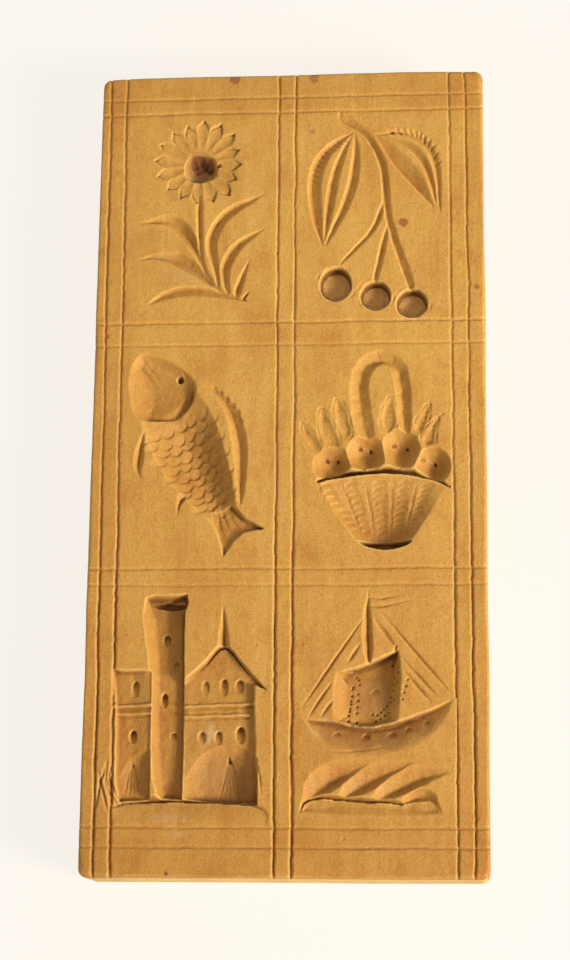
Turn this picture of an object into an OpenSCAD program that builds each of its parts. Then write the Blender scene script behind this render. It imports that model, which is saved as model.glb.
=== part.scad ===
// Wooden butter mold: one flat plank with six pictures cut into its upper face.
// Origin at the middle of the underside, Z up through the carved face, Y along the plank.

/* [Plank] */
// Width of the plank
width = 110; // [100:0.5:120]
// Length of the plank
length = 229; // [215:0.5:240]
// Thickness of the plank
thickness = 20; // [17:0.5:24]
// Rounding of the corners, seen from above
corner = 2.5; // [1:0.25:4]
// Wear on the long and short edges, as a small slope
wear = 0.8; // [0.4:0.1:1.2]

/* [Scored border lines] */
// Width of a scored line
line_width = 1.4; // [0.8:0.1:1.8]
// Depth of a scored line
line_depth = 0.7; // [0.4:0.1:1.0]

/* [Pictures] */
// Depth of all the pictures together, 1 as made
relief = 1; // [0.7:0.05:1.15]
// Depth of the drilled cherries
cherry_depth = 4.5; // [4:0.5:9]
// Diameter of a drilled cherry
cherry_size = 8.4; // [7:0.2:9]
// Depth of the hole in the middle of the flower
eye_depth = 5.5; // [4:0.5:7]

/* [Hidden] */
$fn = 64;
sx = width / 110;
sy = length / 229;
wood = [0.80, 0.58, 0.30];

// Cross-sections of a cut, from its right side to its left side:
// [place across the half width, share of the depth]
vee = [[-1.4, -0.4], [0, 1], [1.4, -0.4]];
vee_left = [[-1.55, -0.4], [0.4, 1], [1.25, -0.4]];
vee_right = [[-1.25, -0.4], [-0.4, 1], [1.55, -0.4]];
round_cut = [[-1.12, -0.3], [-0.7, 0.7], [0, 1], [0.7, 0.7], [1.12, -0.3]];
flat_cut = [[-1.08, -0.4], [-0.86, 0.8], [0, 1], [0.86, 0.8], [1.08, -0.4]];
notch = [[-1.3, -1.6], [0, 1], [1.3, -1.6]];

// Scored lines: places of the upright ones at the top and bottom edge, and of the level ones
upright = [[-52.5, -50.8], [-47.8, -46.2], [-3.7, -2.5], [1.2, 2.2], [45, 46.3], [49.7, 51]];
level = [107.3, 102.8, 39.6, 33, -30.9, -35.5, -101.2, -106.4];

// Points of a cut are [x, y, width, depth].
// Flower
flower = [-26, 88];
flower_eye = [-26.2, 86];
flower_stem = [[-26, 77, 2, 1], [-25.8, 70, 2, 1.2], [-25.5, 64, 1.8, 1.2], [-24.8, 58, 1.6, 1.2],
    [-22.6, 52.6, 1.5, 1], [-19.5, 49, 1.6, 1], [-15.5, 47.2, 1.6, 0.9], [-12.6, 46.4, 1, 0.5]];
flower_leaves_left = [
    [[-43, 70, 0.5, 0.2], [-39, 70.4, 2, 0.6], [-35, 70.6, 3.6, 1], [-31.5, 68.4, 4.6, 1.4],
        [-28.4, 64.4, 3.6, 1.4], [-26.4, 60.4, 2.2, 1.2], [-25, 56.5, 1.2, 0.8]],
    [[-42.8, 58.8, 0.5, 0.2], [-39, 59.2, 1.6, 0.5], [-35, 59.2, 2.8, 0.8], [-31.5, 58.3, 4.2, 1.2],
        [-28, 56.3, 4.2, 1.4], [-25, 53.8, 3.4, 1.4], [-22.5, 51.4, 2, 1.1], [-20.4, 49.6, 1, 0.7]]];
flower_leaves_right = [
    [[-20.2, 50, 1, 0.7], [-20.6, 54, 1.7, 1], [-21.6, 58.5, 2.6, 1.3], [-22.3, 63, 3.3, 1.6],
        [-21.4, 67, 3.5, 1.6], [-19, 70.8, 3.3, 1.5], [-15.5, 73.6, 2.8, 1.3], [-11.5, 75.6, 1.8, 0.8],
        [-7.8, 77.2, 0.5, 0.2]],
    [[-17.3, 48.4, 1.4, 0.8], [-18, 51.5, 2.2, 1.2], [-18.2, 55.5, 3, 1.4], [-17, 59, 3.2, 1.4],
        [-14.5, 62.5, 2.8, 1.2], [-11, 65, 1.8, 0.8], [-7.5, 66.8, 0.5, 0.2]],
    [[-14.8, 46.8, 1.4, 0.6], [-14.6, 49, 2.3, 1.2], [-13.6, 52, 2, 1.2], [-12.6, 55, 1.2, 0.7],
        [-11.5, 57.8, 0.5, 0.2]],
    [[-40.2, 45.1, 0.4, 0.2], [-37.5, 46.6, 1.6, 0.8], [-34.5, 48, 2.6, 1.2], [-31, 48.8, 3, 1.4],
        [-27, 48.9, 3, 1.4], [-23, 48.5, 2.6, 1.2], [-19, 47.8, 2, 1], [-15.5, 46.9, 1.4, 0.8]]];

// Cherries: holes are [x, y]
cherries = [[13, 50.4], [24.2, 46.9], [34.4, 44.4]];
cherry_stems = [
    [[14.3, 102, 1, 0.4], [16.5, 99.8, 2, 0.9], [19.3, 97.6, 1.9, 1], [21.6, 95.2, 1.9, 1.1],
        [23.6, 92.2, 1.9, 1.2], [25.2, 88.8, 2, 1.2], [26.3, 85, 2.1, 1.2], [27, 80.5, 2.1, 1.2],
        [27.4, 76, 2.2, 1.2], [28, 71, 2.2, 1.2], [29, 66.5, 2.2, 1.3], [30.3, 62, 2.2, 1.3],
        [31.8, 57.5, 2.2, 1.3], [33.3, 53, 2.2, 1.3], [34.5, 48, 2, 1.2]],
    [[26.9, 75, 0.8, 0.4], [25.8, 71.5, 1.6, 0.9], [24, 67.5, 1.6, 0.9], [21.5, 64, 1.4, 0.8],
        [18.5, 60.8, 1.3, 0.7], [15.2, 57.6, 1.2, 0.6], [14.2, 54.5, 1.2, 0.6]],
    [[28, 67.5, 0.8, 0.4], [27.3, 64.5, 1.6, 0.9], [26.4, 60.5, 1.8, 1], [25.5, 56.5, 1.8, 1],
        [24.6, 52.4, 1.6, 0.9], [24.3, 50, 1.4, 0.8]]];
cherry_leaf_cuts = [
    [[17.4, 95.8, 0.5, 0.2], [13.5, 92.6, 2, 1], [10, 89.4, 3.2, 1.4], [7.8, 85.4, 3.8, 1.6],
        [7, 80.8, 4, 1.6], [7.1, 76, 3.8, 1.5], [7.6, 71, 3, 1.3], [8.4, 66.4, 2, 1], [9.3, 62, 0.6, 0.3]],
    [[16.9, 94.8, 0.5, 0.2], [14.8, 90, 1.8, 0.8], [13.2, 85.5, 2.6, 1.2], [12.2, 80.5, 3, 1.3],
        [11.5, 75, 2.8, 1.3], [10.8, 69.5, 2.2, 1.1], [9.8, 63.5, 0.6, 0.3]],
    [[18.2, 95.5, 0.5, 0.2], [18.4, 91, 2.2, 1], [18.2, 86, 3, 1.4], [17.6, 81, 3.2, 1.4],
        [16.3, 76, 3, 1.3], [14.3, 71, 2.4, 1.2], [12.2, 66.5, 1.8, 1], [10.1, 62, 0.5, 0.3]],
    [[24.6, 94, 0.6, 0.3], [28.3, 90.7, 3.2, 1.2], [31.5, 87, 4.5, 1.6], [34.5, 83, 4.2, 1.6],
        [37.5, 78.8, 3, 1.3], [40.6, 73.8, 0.6, 0.3]],
    [[28, 94.6, 0.6, 0.3], [32, 93.2, 2.2, 1], [35.5, 90.3, 2.6, 1.2], [38, 86.5, 2.6, 1.2],
        [39.6, 82, 2.2, 1.1], [40.8, 77, 1.6, 0.8], [41.4, 73.5, 0.5, 0.3]],
    [[24.5, 95, 0.5, 0.3], [29.5, 95.7, 1.2, 0.6], [34, 94.9, 2, 0.9], [37.6, 93, 2.4, 1.1],
        [40, 89.8, 2.6, 1.2],
        [41.5, 85.5, 2.6, 1.2], [42, 80.5, 2.2, 1.1], [42.2, 75.5, 1.4, 0.8], [42.2, 71.5, 0.5, 0.3]]];

// Fish: the body is a round hollow along its own line
fish_head = [[-42.8, 29.6], [-40, 30.4], [-36, 29.8], [-31.5, 27.6], [-28, 24.8], [-26, 22.2],
    [-26.6, 18], [-28.8, 14], [-32, 11.4], [-36.5, 9.6], [-40.6, 9], [-42, 14], [-43, 20], [-43.8, 25.5]];
fish_body = [[-34, 17, 15, 2.6], [-32.2, 13.5, 18, 4], [-30.4, 9.5, 19, 4.8], [-28.4, 5, 19.3, 5.2],
    [-26.4, 0.5, 18.8, 5.2],
    [-24.3, -3.5, 17.4, 5], [-22, -7.5, 15, 4.5], [-19.8, -11.3, 12, 3.8], [-18, -14.6, 9, 3.2],
    [-16.6, -17.4, 8, 2.4], [-15.4, -20, 8, 1.2]];
fish_tail = [[-21.6, -16], [-12.8, -13], [-10.5, -17.4], [-6.4, -20], [-10, -20.2], [-13.6, -22.2],
    [-17.2, -26.8],
    [-19.4, -21.5]];
fish_fins = [
    [[-12.9, -12.6, 0.8, 0.4], [-12.8, -7.5, 2.2, 1.2], [-12.8, -2, 2.8, 1.4], [-13.1, 3.5, 3, 1.5],
        [-13.9, 8.5, 3.2, 1.5], [-15.3, 13, 3, 1.4], [-17.6, 16.6, 2.6, 1.2], [-20.5, 19.3, 1.8, 0.8],
        [-23.6, 21.6, 0.5, 0.2]],
    [[-40.6, -5, 0.6, 0.2], [-41, -3, 2, 0.8], [-41, 0.4, 3, 1.5], [-40.8, 4, 2.4, 1.3], [-40.2, 8, 0.6, 0.3]],
    [[-30.3, -15.8, 0.5, 0.2], [-29.6, -13.4, 1.6, 0.8], [-28.9, -11, 2.6, 1.2], [-28.6, -8, 1.4, 0.6]]];

// Basket
basket_handle = [[23.6, 1.5, 3, 1.2], [21.9, 6, 4.6, 1.9], [20.6, 11, 4.9, 2.1], [19.9, 16, 4.9, 2.1],
    [19.9, 21, 4.8, 2.1], [20.9, 25, 4.6, 2.1], [23, 27.5, 4.3, 2], [26, 28.3, 4, 1.9], [29, 27.4, 3.9, 1.9],
    [31, 24.6, 3.9, 1.9], [31.8, 20.5, 3.9, 1.9], [32.2, 15, 3.9, 1.8], [32.4, 10, 3.6, 1.7],
        [32.3, 6, 2.6, 1]];
basket_leaves = [
    [[3.9, 9.9, 0.4, 0.3], [5.3, 7.2, 2.8, 0.9], [7, 4.4, 3.6, 1.1], [9, 1, 3, 1]],
    [[8.7, 14.2, 0.4, 0.3], [10, 11, 3, 0.9], [11.6, 7.5, 4, 1.1], [12.3, 3.6, 3.3, 1.1]],
    [[13.4, 16.8, 1, 0.3], [14, 14, 3.2, 0.9], [15.2, 10, 3.9, 1.1], [16.8, 5, 3.4, 1.1]],
    [[28.5, 17.4, 0.4, 0.3], [28, 14, 3.4, 0.9], [28, 10.5, 4.4, 1.1], [28.8, 6, 3.6, 1.1]],
    [[39, 15.4, 0.4, 0.3], [37.9, 12, 2.8, 0.9], [36.6, 8.8, 3.4, 1.1], [35.5, 5, 3, 1]],
    [[41.6, 11.4, 0.4, 0.3], [40.6, 8.4, 2.8, 0.9], [39.4, 5.6, 3.6, 1.1], [38.6, 2, 3, 1]]];
// Fruits are [x, y, radius]
basket_fruits = [[12, -1.6, 5.2], [21.6, 1.2, 5.6], [31.2, 2.6, 5.4], [40, -2.2, 4.8]];
// The stop cut that sets the fruits off from the rim
rim_cut = [[8.8, -5.9, 1, 1], [12, -4.9, 2.6, 3.2], [18, -3.5, 3.4, 4.2], [25.5, -2.7, 3.6, 4.4],
    [32, -2.8, 3.4, 4.3],
    [38, -4.2, 2.8, 3.6], [43.6, -6.8, 1, 1]];
basket_rim = [[8.4, -6.6], [11, -5.8], [15, -5.2], [20, -4.5], [25.5, -4.1], [31, -4.2], [36, -5],
    [41, -6.4], [45.4, -8.7]];
// The woven body, across each level: [y, left x, right x, depth]
basket_body = [[-3.4, 8.2, 45.6, 1.6], [-7, 9.2, 44.6, 2.8], [-11, 10.8, 42.2, 3.6], [-15, 12.8, 39.8, 4.3],
    [-19, 15.8, 37.2, 4.8], [-23, 19.4, 34.6, 5]];

// Castle and church: wells with a top outline and a floor outline with depths
tower_top = [[-38.6, -38.4], [-27, -38.2], [-26.6, -41.6], [-27.6, -43.6], [-27.2, -93.4], [-34.6, -93.4],
    [-36.2, -80], [-36.4, -60], [-38.4, -48]];
tower_floor = [for (q = [[-36.8, -41.2], [-27.6, -41], [-27.4, -42], [-28.2, -44], [-28, -92.8], [-32.6, -92.8],
    [-33.8, -80], [-34, -60], [-35.8, -48]]) [q[0], q[1], 3.6 + 0.014 * (q[1] + 93)]];
tower_crevice = [[-37.2, -41.6, 1.6, 4], [-36, -41.7, 2.4, 5.2], [-29, -41.6, 2.4, 5.2], [-27, -41.4, 1.6, 4]];
roof_cut = [[-27, -62.8, 1, 1.6], [-22, -58.2, 1.6, 3.2], [-16.7, -52.4, 2, 3.8], [-11, -58.6, 1.6, 3.2],
    [-5.6, -64.2, 0.8, 1]];
annex_top = [[-45.4, -59.2], [-36, -59.2], [-34, -93.6], [-44, -94], [-45.4, -88]];
annex_floor = [[-44.2, -60.2, 2.6], [-36, -60.2, 2.6], [-34, -93, 2.6], [-43.4, -93.4, 2.6], [-44.2, -88, 2.6]];
church_top = [[-27.8, -62.4], [-16.7, -51], [-5, -64.6], [-8, -64.2], [-7.4, -94.6], [-27.6, -93.4]];
church_floor = [[-26.8, -62.8, 2.7], [-16.7, -52.8, 2.7], [-9, -62.4, 2.7], [-8.8, -64.6, 2.7],
    [-8.4, -94, 2.7], [-27, -92.8, 2.7]];
spire = [[-17, -41.6, 0.5, 0.3], [-16.9, -45.5, 1.8, 1.1], [-16.8, -49.5, 2.9, 1.8], [-16.7, -52.5, 3.4, 2.4]];
// Windows are [x, y, width, height, floor they are cut into]
windows = [[-32.4, -50.6, 1.9, 3.6, 4.3], [-29.9, -57.6, 1.6, 3, 4.2], [-32.8, -66.8, 1.9, 3.6, 4],
    [-30.2, -76.8, 1.8, 2.8, 3.8], [-40.8, -63.6, 2, 4.6, 2.5], [-41, -77, 2, 4, 2.6],
        [-21.7, -63.6, 2, 3.8, 2.7],
    [-16.6, -63.4, 2, 4.6, 2.7], [-12.3, -63.2, 2.2, 4, 2.5], [-22.5, -77, 2, 3.8, 2.7], [-18, -77, 2, 4, 2.7],
    [-12, -76.2, 2.2, 4.8, 2.6]];
// Ledges are [x from, x to, y, floor they are cut into]
ledges = [[-46.6, -36.4, -69.6, 2.3], [-44.8, -36.6, -71.8, 2.3], [-27.4, -8.6, -69.6, 2.5],
    [-27, -9.6, -72.2, 2.5]];
hills = [[[-44, -93, 3, 1], [-41.6, -88.6, 6, 3.4], [-38.6, -85.4, 5, 3.4], [-36.4, -81.6, 2, 3]],
    [[-26, -92, 4, 3.2], [-22.8, -87.6, 8, 4], [-18.4, -85, 8, 4.2], [-13.4, -87, 7, 4], [-10, -92, 4, 3]]];
ground = [[-46.6, -96.4, 0.8, 0.5], [-43, -95.4, 2.4, 2.4], [-38, -95, 3.2, 3.2], [-30, -94.9, 3.6, 3.6],
    [-20, -95, 3.6, 3.6],
    [-12, -95.4, 3.2, 3], [-8, -96.2, 2, 1.8], [-4.8, -97.2, 0.6, 0.4]];
trees = [[-15, -82.6, 5, 10.6, 3.6], [-41, -84.6, 4.4, 8, 2.6], [-47.4, -83.6, 4.6, 11, 0.2],
    [-7, -85.4, 2.4, 7, 0.2]];

// Ship
mast = [[22.6, -37.6, 0.8, 0.4], [22.3, -41.6, 1.2, 0.9], [22.3, -45, 2.1, 1.4], [22.4, -50, 2.9, 1.7],
    [22.5, -53.6, 2.7, 1.6],
    [22.6, -56.6, 1.4, 1.2]];
pennants = [[[22.6, -39.2, 1.3, 0.6], [26, -39.3, 1.2, 0.6], [29, -38.6, 0.8, 0.4], [32.4, -38.2, 0.4, 0.2]],
    [[22.4, -41.8, 1.3, 0.6], [26, -41.6, 1.2, 0.6], [29.4, -40.7, 0.8, 0.4], [34.6, -39.8, 0.4, 0.2]]];
// Ropes are [x1, y1, x2, y2, width]
ropes = [[21, -45, 4.6, -69.4, 0.8], [20.2, -52, 17, -57, 0.9], [12.6, -62.4, 6.5, -71.6, 0.8],
    [13.3, -66.8, 9.8, -71.6, 0.9],
    [26, -43.4, 45, -66, 0.8], [24, -45.4, 29.8, -53, 1.2], [31.4, -55.4, 41.4, -66.6, 0.8],
        [32.2, -59.4, 39.6, -67.6, 0.9]];
// The sail, across each level: [y, left x, right x, depth]
sail_top = [[14.4, -60], [19, -58.6], [23, -57], [27, -55.2], [30.6, -53.6], [30.9, -60], [30.6, -66],
    [29.2, -72.6], [24, -73.8], [18, -73.6], [14.2, -72.6], [13.6, -66]];
sail_floor = [[17, -61, 3.4], [19.6, -59.6, 4.2], [23.4, -58, 4.4], [27, -56.4, 4.2], [29.6, -55.4, 3.2],
    [29.8, -60, 3.2], [29.4, -66, 2.8],
    [28, -71.8, 1.8], [24, -73, 2], [18.4, -72.8, 2], [16.4, -71.8, 2], [16.4, -66, 3]];
hull_top = [[6.4, -72.4], [12, -72.8], [18, -73.9], [22.5, -74.2], [27, -73.7], [31, -72.6], [36, -70.9],
    [40.5, -69], [45.2, -66.8],
    [43, -71.6], [39.4, -76.4], [34, -79.8], [27, -81.4], [19, -81.8], [13, -80.8], [9, -77.4]];
hull_floor = [[10.5, -74.8, 1.6], [13.4, -74.9, 2.6], [18.4, -75.4, 3.4], [22.5, -75.6, 3.6],
    [27, -75.2, 3.6], [31, -74.4, 3.4], [35, -73.2, 2.8],
    [38, -72.4, 2], [41, -70.6, 1.2], [39.6, -73, 1.2], [36.6, -75.4, 1.2], [32.4, -77.8, 1],
        [27, -79, 0.8], [20, -79.2, 0.8], [15, -78.4, 0.8],
    [11.6, -76.6, 1]];
portholes = [[14, -77.4, 1.2], [22, -77.8, 1.2], [29, -77.2, 1.4], [33.4, -75.8, 1.6], [38.2, -74, 1]];
waves = [
    [[5, -94, 2, 1.2], [8.2, -90, 5.4, 2.2], [12.4, -87, 6.6, 2.6], [17, -85.4, 4.6, 1.6],
        [20.6, -84.4, 1, 0.3]],
    [[15, -92.8, 2, 1.2], [18.8, -89.4, 5.6, 2.2], [23.5, -86.9, 5.8, 2.3], [28, -85.2, 3.8, 1.4],
        [31.6, -84.4, 1, 0.3]],
    [[23.6, -93.4, 2, 1.2], [27.8, -90.4, 5.2, 2.2], [33, -87.9, 5.8, 2.3], [38, -86.2, 4.2, 1.6],
        [42.4, -86, 1, 0.4]],
    [[32.4, -94.4, 1.4, 1], [35.6, -93, 3.4, 2.2], [38.8, -92.9, 3.4, 1.8], [41.2, -95.6, 1, 0.6]]];
swell = [[4.6, -96.6, 0.6, 0.3], [7.4, -94.8, 2.6, 2.2], [15, -94.8, 3, 2.6], [22, -95.4, 3, 2.6],
    [31, -95.8, 3, 2.6], [37, -95.4, 3, 2.4],
    [41.6, -96.8, 0.8, 0.4]];

function at(x, y) = [x * sx, y * sy];
function z(d) = thickness - d * relief;
function heading(p, i) =
    let (a = p[max(i - 1, 0)], b = p[min(i + 1, len(p) - 1)], v = at(b[0] - a[0], b[1] - a[1])) v / norm(v);
function section(p, i, shape, floor) =
    let (t = heading(p, i), c = at(p[i][0], p[i][1]))
    [for (q = shape) let (r = c + [-t[1], t[0]] * p[i][2] / 2 * q[0]) [r[0], r[1], z(floor + p[i][3] * q[1])]];
function belt(a, b, n) =
    [for (j = [0 : n - 1]) let (k = (j + 1) % n) each [[a + k, a + j, b + j], [a + k, b + j, b + k]]];
// Share of the depth at a place across a round cut
function share(s) = abs(s) < 0.7 ? 1 - 0.43 * abs(s) : 0.7 - 2.38 * (abs(s) - 0.7);
function mean(p) = [for (k = [0 : len(p[0]) - 1]) [for (q = p) 1] * [for (q = p) q[k]] / len(p)];

// A cut along a line of points, with the given cross-section, starting from a floor
module cut(p, shape = vee, floor = 0) {
    n = len(shape);
    m = len(p);
    polyhedron([for (i = [0 : m - 1]) each section(p, i, shape, floor)],
        concat([[for (j = [0 : n - 1]) j]], [[for (j = [n - 1 : -1 : 0]) (m - 1) * n + j]],
            [for (i = [0 : m - 2]) each belt(i * n, (i + 1) * n, n)]));
}

// A hollow whose walls run from a top outline down to a floor outline with depths
module well(top, floor) {
    n = len(top);
    c = mean(floor);
    rim = [for (i = [0 : n - 1]) let (q = top[i] + 0.25 * (top[i] - [floor[i][0], floor[i][1]]))
        concat(at(q[0], q[1]), z(-0.25 * floor[i][2]))];
    low = [for (q = floor) concat(at(q[0], q[1]), z(q[2]))];
    polyhedron(concat(rim, low, [concat(at(c[0], c[1]), z(-1.5)), concat(at(c[0], c[1]), z(c[2]))]),
        concat([for (j = [0 : n - 1]) [2 * n, j, (j + 1) % n]], belt(0, n, n),
            [for (j = [0 : n - 1]) [2 * n + 1, n + (j + 1) % n, n + j]]));
}

// A bowl with a round rim; small ones are plain pits
module bowl(x, y, r, d, floor = 0) {
    rings = r > 2 ? [[1.12, -0.3], [0.85, 0.5], [0.45, 0.9]] : [[1.1, -0.3], [0.7, 0.9]];
    n = r > 2 ? 12 : 6;
    m = len(rings);
    c = at(x, y);
    pts = [for (q = rings, a = [0 : n - 1])
        [c[0] + r * q[0] * sin(360 * a / n), c[1] + r * q[0] * cos(360 * a / n), z(floor + d * q[1])]];
    polyhedron(concat(pts, [concat(c, z(floor - 0.3 * d)), concat(c, z(floor + d))]),
        concat([for (j = [0 : n - 1]) [m * n, j, (j + 1) % n]],
            [for (k = [0 : m - 2]) each belt(k * n, (k + 1) * n, n)],
            [for (j = [0 : n - 1]) [m * n + 1, (m - 1) * n + (j + 1) % n, (m - 1) * n + j]]));
}

// A short curved nick, bulging toward angle a, around the middle x, y
module nick(x, y, a, r, w, d, floor) {
    cut([for (k = [-1 : 1]) [x + r * (cos(a + k * 50) - 0.6 * cos(a)), y + r * (sin(a + k * 50) - 0.6 * sin(a)),
        w * (1 - abs(k) * 0.6), d * (1 - abs(k) * 0.5)]], notch, floor);
}

module scored_lines() {
    h = line_depth;
    w = line_width;
    for (g = upright) {
        a = at(g[1], -114.5);
        b = at(g[0], 114.5);
        l = norm(b - a);
        translate([a[0], a[1], thickness]) rotate([0, 0, atan2(b[1] - a[1], b[0] - a[0]) - 90])
            translate([0, l + 3, 0]) rotate([90, 0, 0])
                linear_extrude(l + 6) polygon([[-w, h], [0, -h], [w, h]]);
    }
    for (y = level)
        translate([-width / 2 - 3, y * sy, thickness]) rotate([90, 0, 90])
            linear_extrude(width + 6) polygon([[-w, h], [0, -h], [w, h]]);
}

module flower_cuts() {
    for (i = [0 : 15]) {
        a = 360 / 16 * i + 4;
        r = 12.4 + 0.5 * sin(a * 3);
        cut([for (q = [[3.6, 2, 1.6], [9, 4, 1.3], [r, 0.5, 0.4]])
            [flower[0] + q[0] * sin(a), flower[1] + q[0] * cos(a), q[1], q[2]]], round_cut);
    }
    cut(flower_stem);
    for (p = flower_leaves_left) cut(p, vee_right);
    for (p = flower_leaves_right) cut(p, vee_left);
}

module cherry_cuts() {
    for (p = cherry_stems) cut(p);
    for (p = cherry_leaf_cuts) cut(p);
    // notches along the outer edge of the right leaf
    p = cherry_leaf_cuts[5];
    for (i = [1 : 6], f = [0, 0.5]) {
        t = heading(p, i);
        c = p[i] * (1 - f) + p[i + 1] * f;
        cut([for (q = [[0.2, 1, 0.8], [0.55, 0.9, 0.6], [0.9, 0.4, 0.2]])
            [c[0] - t[1] * c[2] * q[0], c[1] + t[0] * c[2] * q[0], q[1], q[2]]]);
    }
}

module fish_cuts() {
    well([for (q = fish_head) q], [for (q = fish_head) let (k = (q[0] > -39 && q[1] < 23) ? 0.94 : 0.78)
        [-33 + (q[0] + 33) * k, 20 + (q[1] - 20) * k, 2 + 2.6 * max(0, 1 - norm([q[0] + 29,
            q[1] - 15]) / 22)]]);
    cut(fish_body, round_cut);
    well(fish_tail, [for (q = fish_tail) [-14.8 + (q[0] + 14.8) * 0.86, -18 + (q[1] + 18) * 0.86,
        q[1] > -17 ? 2.4 : 1.2]]);
    for (p = fish_fins) cut(p, vee_left);
    // scales, in rows across the body
    for (u = [0 : 8]) {
        q = fish_body[u + 1 < len(fish_body) ? u + 1 : u];
        r = fish_body[u];
        n = u < 5 ? 2 : 1;
        for (v = [-n : n]) {
            s = (v + (u % 2) / 2) / (n + 0.9);
            x = q[0] + q[2] / 2 * s * 0.88;
            y = q[1] + q[2] / 2 * s * 0.42;
            if (q[1] > -13) nick(x, y, -63, 2, 1, 0.6, q[3] * share(s));
        }
    }
    for (p = [[[-42, 27.6, 0.3, 0.3], [-39.8, 24.6, 0.6, 0.5], [-37.5, 21.6, 0.3, 0.3]],
            [[-41, 29, 0.3, 0.3], [-38.8, 26.2, 0.6, 0.5], [-36.6, 23.4, 0.3, 0.3]]])
        cut(p, vee, 1.7);
    bowl(-30.6, 22.8, 1.1, 1.4, 3);
}

module basket_cuts() {
    cut(basket_handle, vee_left);
    for (p = basket_leaves) cut(p, flat_cut);
    difference() {
        union() {
            for (f = basket_fruits) bowl(f[0], f[1], f[2], 4.2);
            cut(rim_cut, vee_right);
        }
        // the rim stays standing under the fruits
        linear_extrude(thickness + 5) polygon(concat([for (q = basket_rim) at(q[0], q[1])],
            [at(46, -30), at(4, -30)]));
    }
    for (f = basket_fruits) for (s = [-1, 1]) bowl(f[0] + s * 1.5, f[1] + 0.4, 0.6, 1, 3.6);
    // the body: a round hollow across, from the rim to the slanting foot
    side = [[-1.04, -0.3], [-0.9, 0.45], [-0.55, 0.86], [0, 1], [0.55, 0.86], [0.9, 0.45], [1.04, -0.3]];
    n = len(side);
    rings = concat(
        [for (q = basket_body) [for (t = side)
            concat(at((q[1] + q[2]) / 2 + (q[2] - q[1]) / 2 * t[0], q[0]), z(q[3] * t[1]))]],
        [[for (t = side) concat(at(27 + 7.4 * t[0],
            -23.4 - 2.6 * max(0, 1 - t[0] * t[0])), z(abs(t[0]) > 1 ? -1.5 : -0.5))]]);
    m = len(rings);
    difference() {
        polyhedron([for (r = rings) each r],
            concat([[for (j = [0 : n - 1]) j]], [[for (j = [n - 1 : -1 : 0]) (m - 1) * n + j]],
                [for (i = [0 : m - 2]) each belt(i * n, (i + 1) * n, n)]));
        linear_extrude(thickness + 5)
            polygon(concat([for (q = basket_rim) at(q[0], q[1] - 0.6)],
                [at(50, -8.8), at(50, 10), at(4, 10), at(4, -7)]));
    }
    // weave marks in columns
    for (c = [[11.6, 19.4], [18.6, 22], [26, 26.4], [33, 30.6], [39.4, 34.6]], i = [0 : 6])
        let (t = i / 6, y = -8.8 - 12 * t, x = c[0] + (c[1] - c[0]) * t, s = abs(x - 26.8) / (16.7 - 7.6 * t))
            nick(x + 0.5, y - 0.4, 95, 1.3, 0.9, 0.6,
                (3.1 + 1.8 * t) * (s < 0.55 ? 1 - 0.25 * s : 0.86 - 1.17 * (s - 0.55)));
}

module castle_cuts() {
    well(tower_top, tower_floor);
    well(annex_top, annex_floor);
    well(church_top, church_floor);
    cut(spire);
    cut(tower_crevice);
    cut(roof_cut);
    for (w = windows)
        cut([[w[0], w[1] + w[3] / 2, w[2] * 0.6, 0.4], [w[0], w[1] + w[3] / 4, w[2], 0.9], [w[0],
            w[1] - w[3] / 4, w[2], 0.8],
            [w[0], w[1] - w[3] / 2, w[2] * 0.6, 0.3]], flat_cut, w[4] - 0.1);
    for (l = ledges) cut([[l[0], l[2], 1.1, 0.7], [l[1], l[2], 1.1, 0.7]], vee, l[3]);
    for (p = hills) cut(p, round_cut);
    cut(ground, vee_left);
    for (t = trees, k = [-1 : 1])
        cut([[t[0] + k * 0.2, t[1], 0.4, 0.3], [t[0] + k * t[2] * 0.22, t[1] - t[3] / 2, 0.9, 0.8],
            [t[0] + k * t[2] * 0.42, t[1] - t[3], 0.5, 0.3]], vee, t[4]);
}

module ship_cuts() {
    cut(mast);
    for (p = pennants) cut(p);
    for (r = ropes) cut([[r[0], r[1], r[4] * 0.6, 0.3], [(r[0] + r[2]) / 2, (r[1] + r[3]) / 2, r[4], 0.5],
        [r[2], r[3], r[4] * 0.6, 0.3]]);
    well(sail_top, sail_floor);
    well(hull_top, hull_floor);
    for (q = portholes) bowl(q[0], q[1], 1.1, 1, q[2]);
    bowl(24.2, -65.4, 0.9, 1, 3);
    for (p = waves) cut(p, vee_left);
    cut(swell, vee_left);
}

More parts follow.
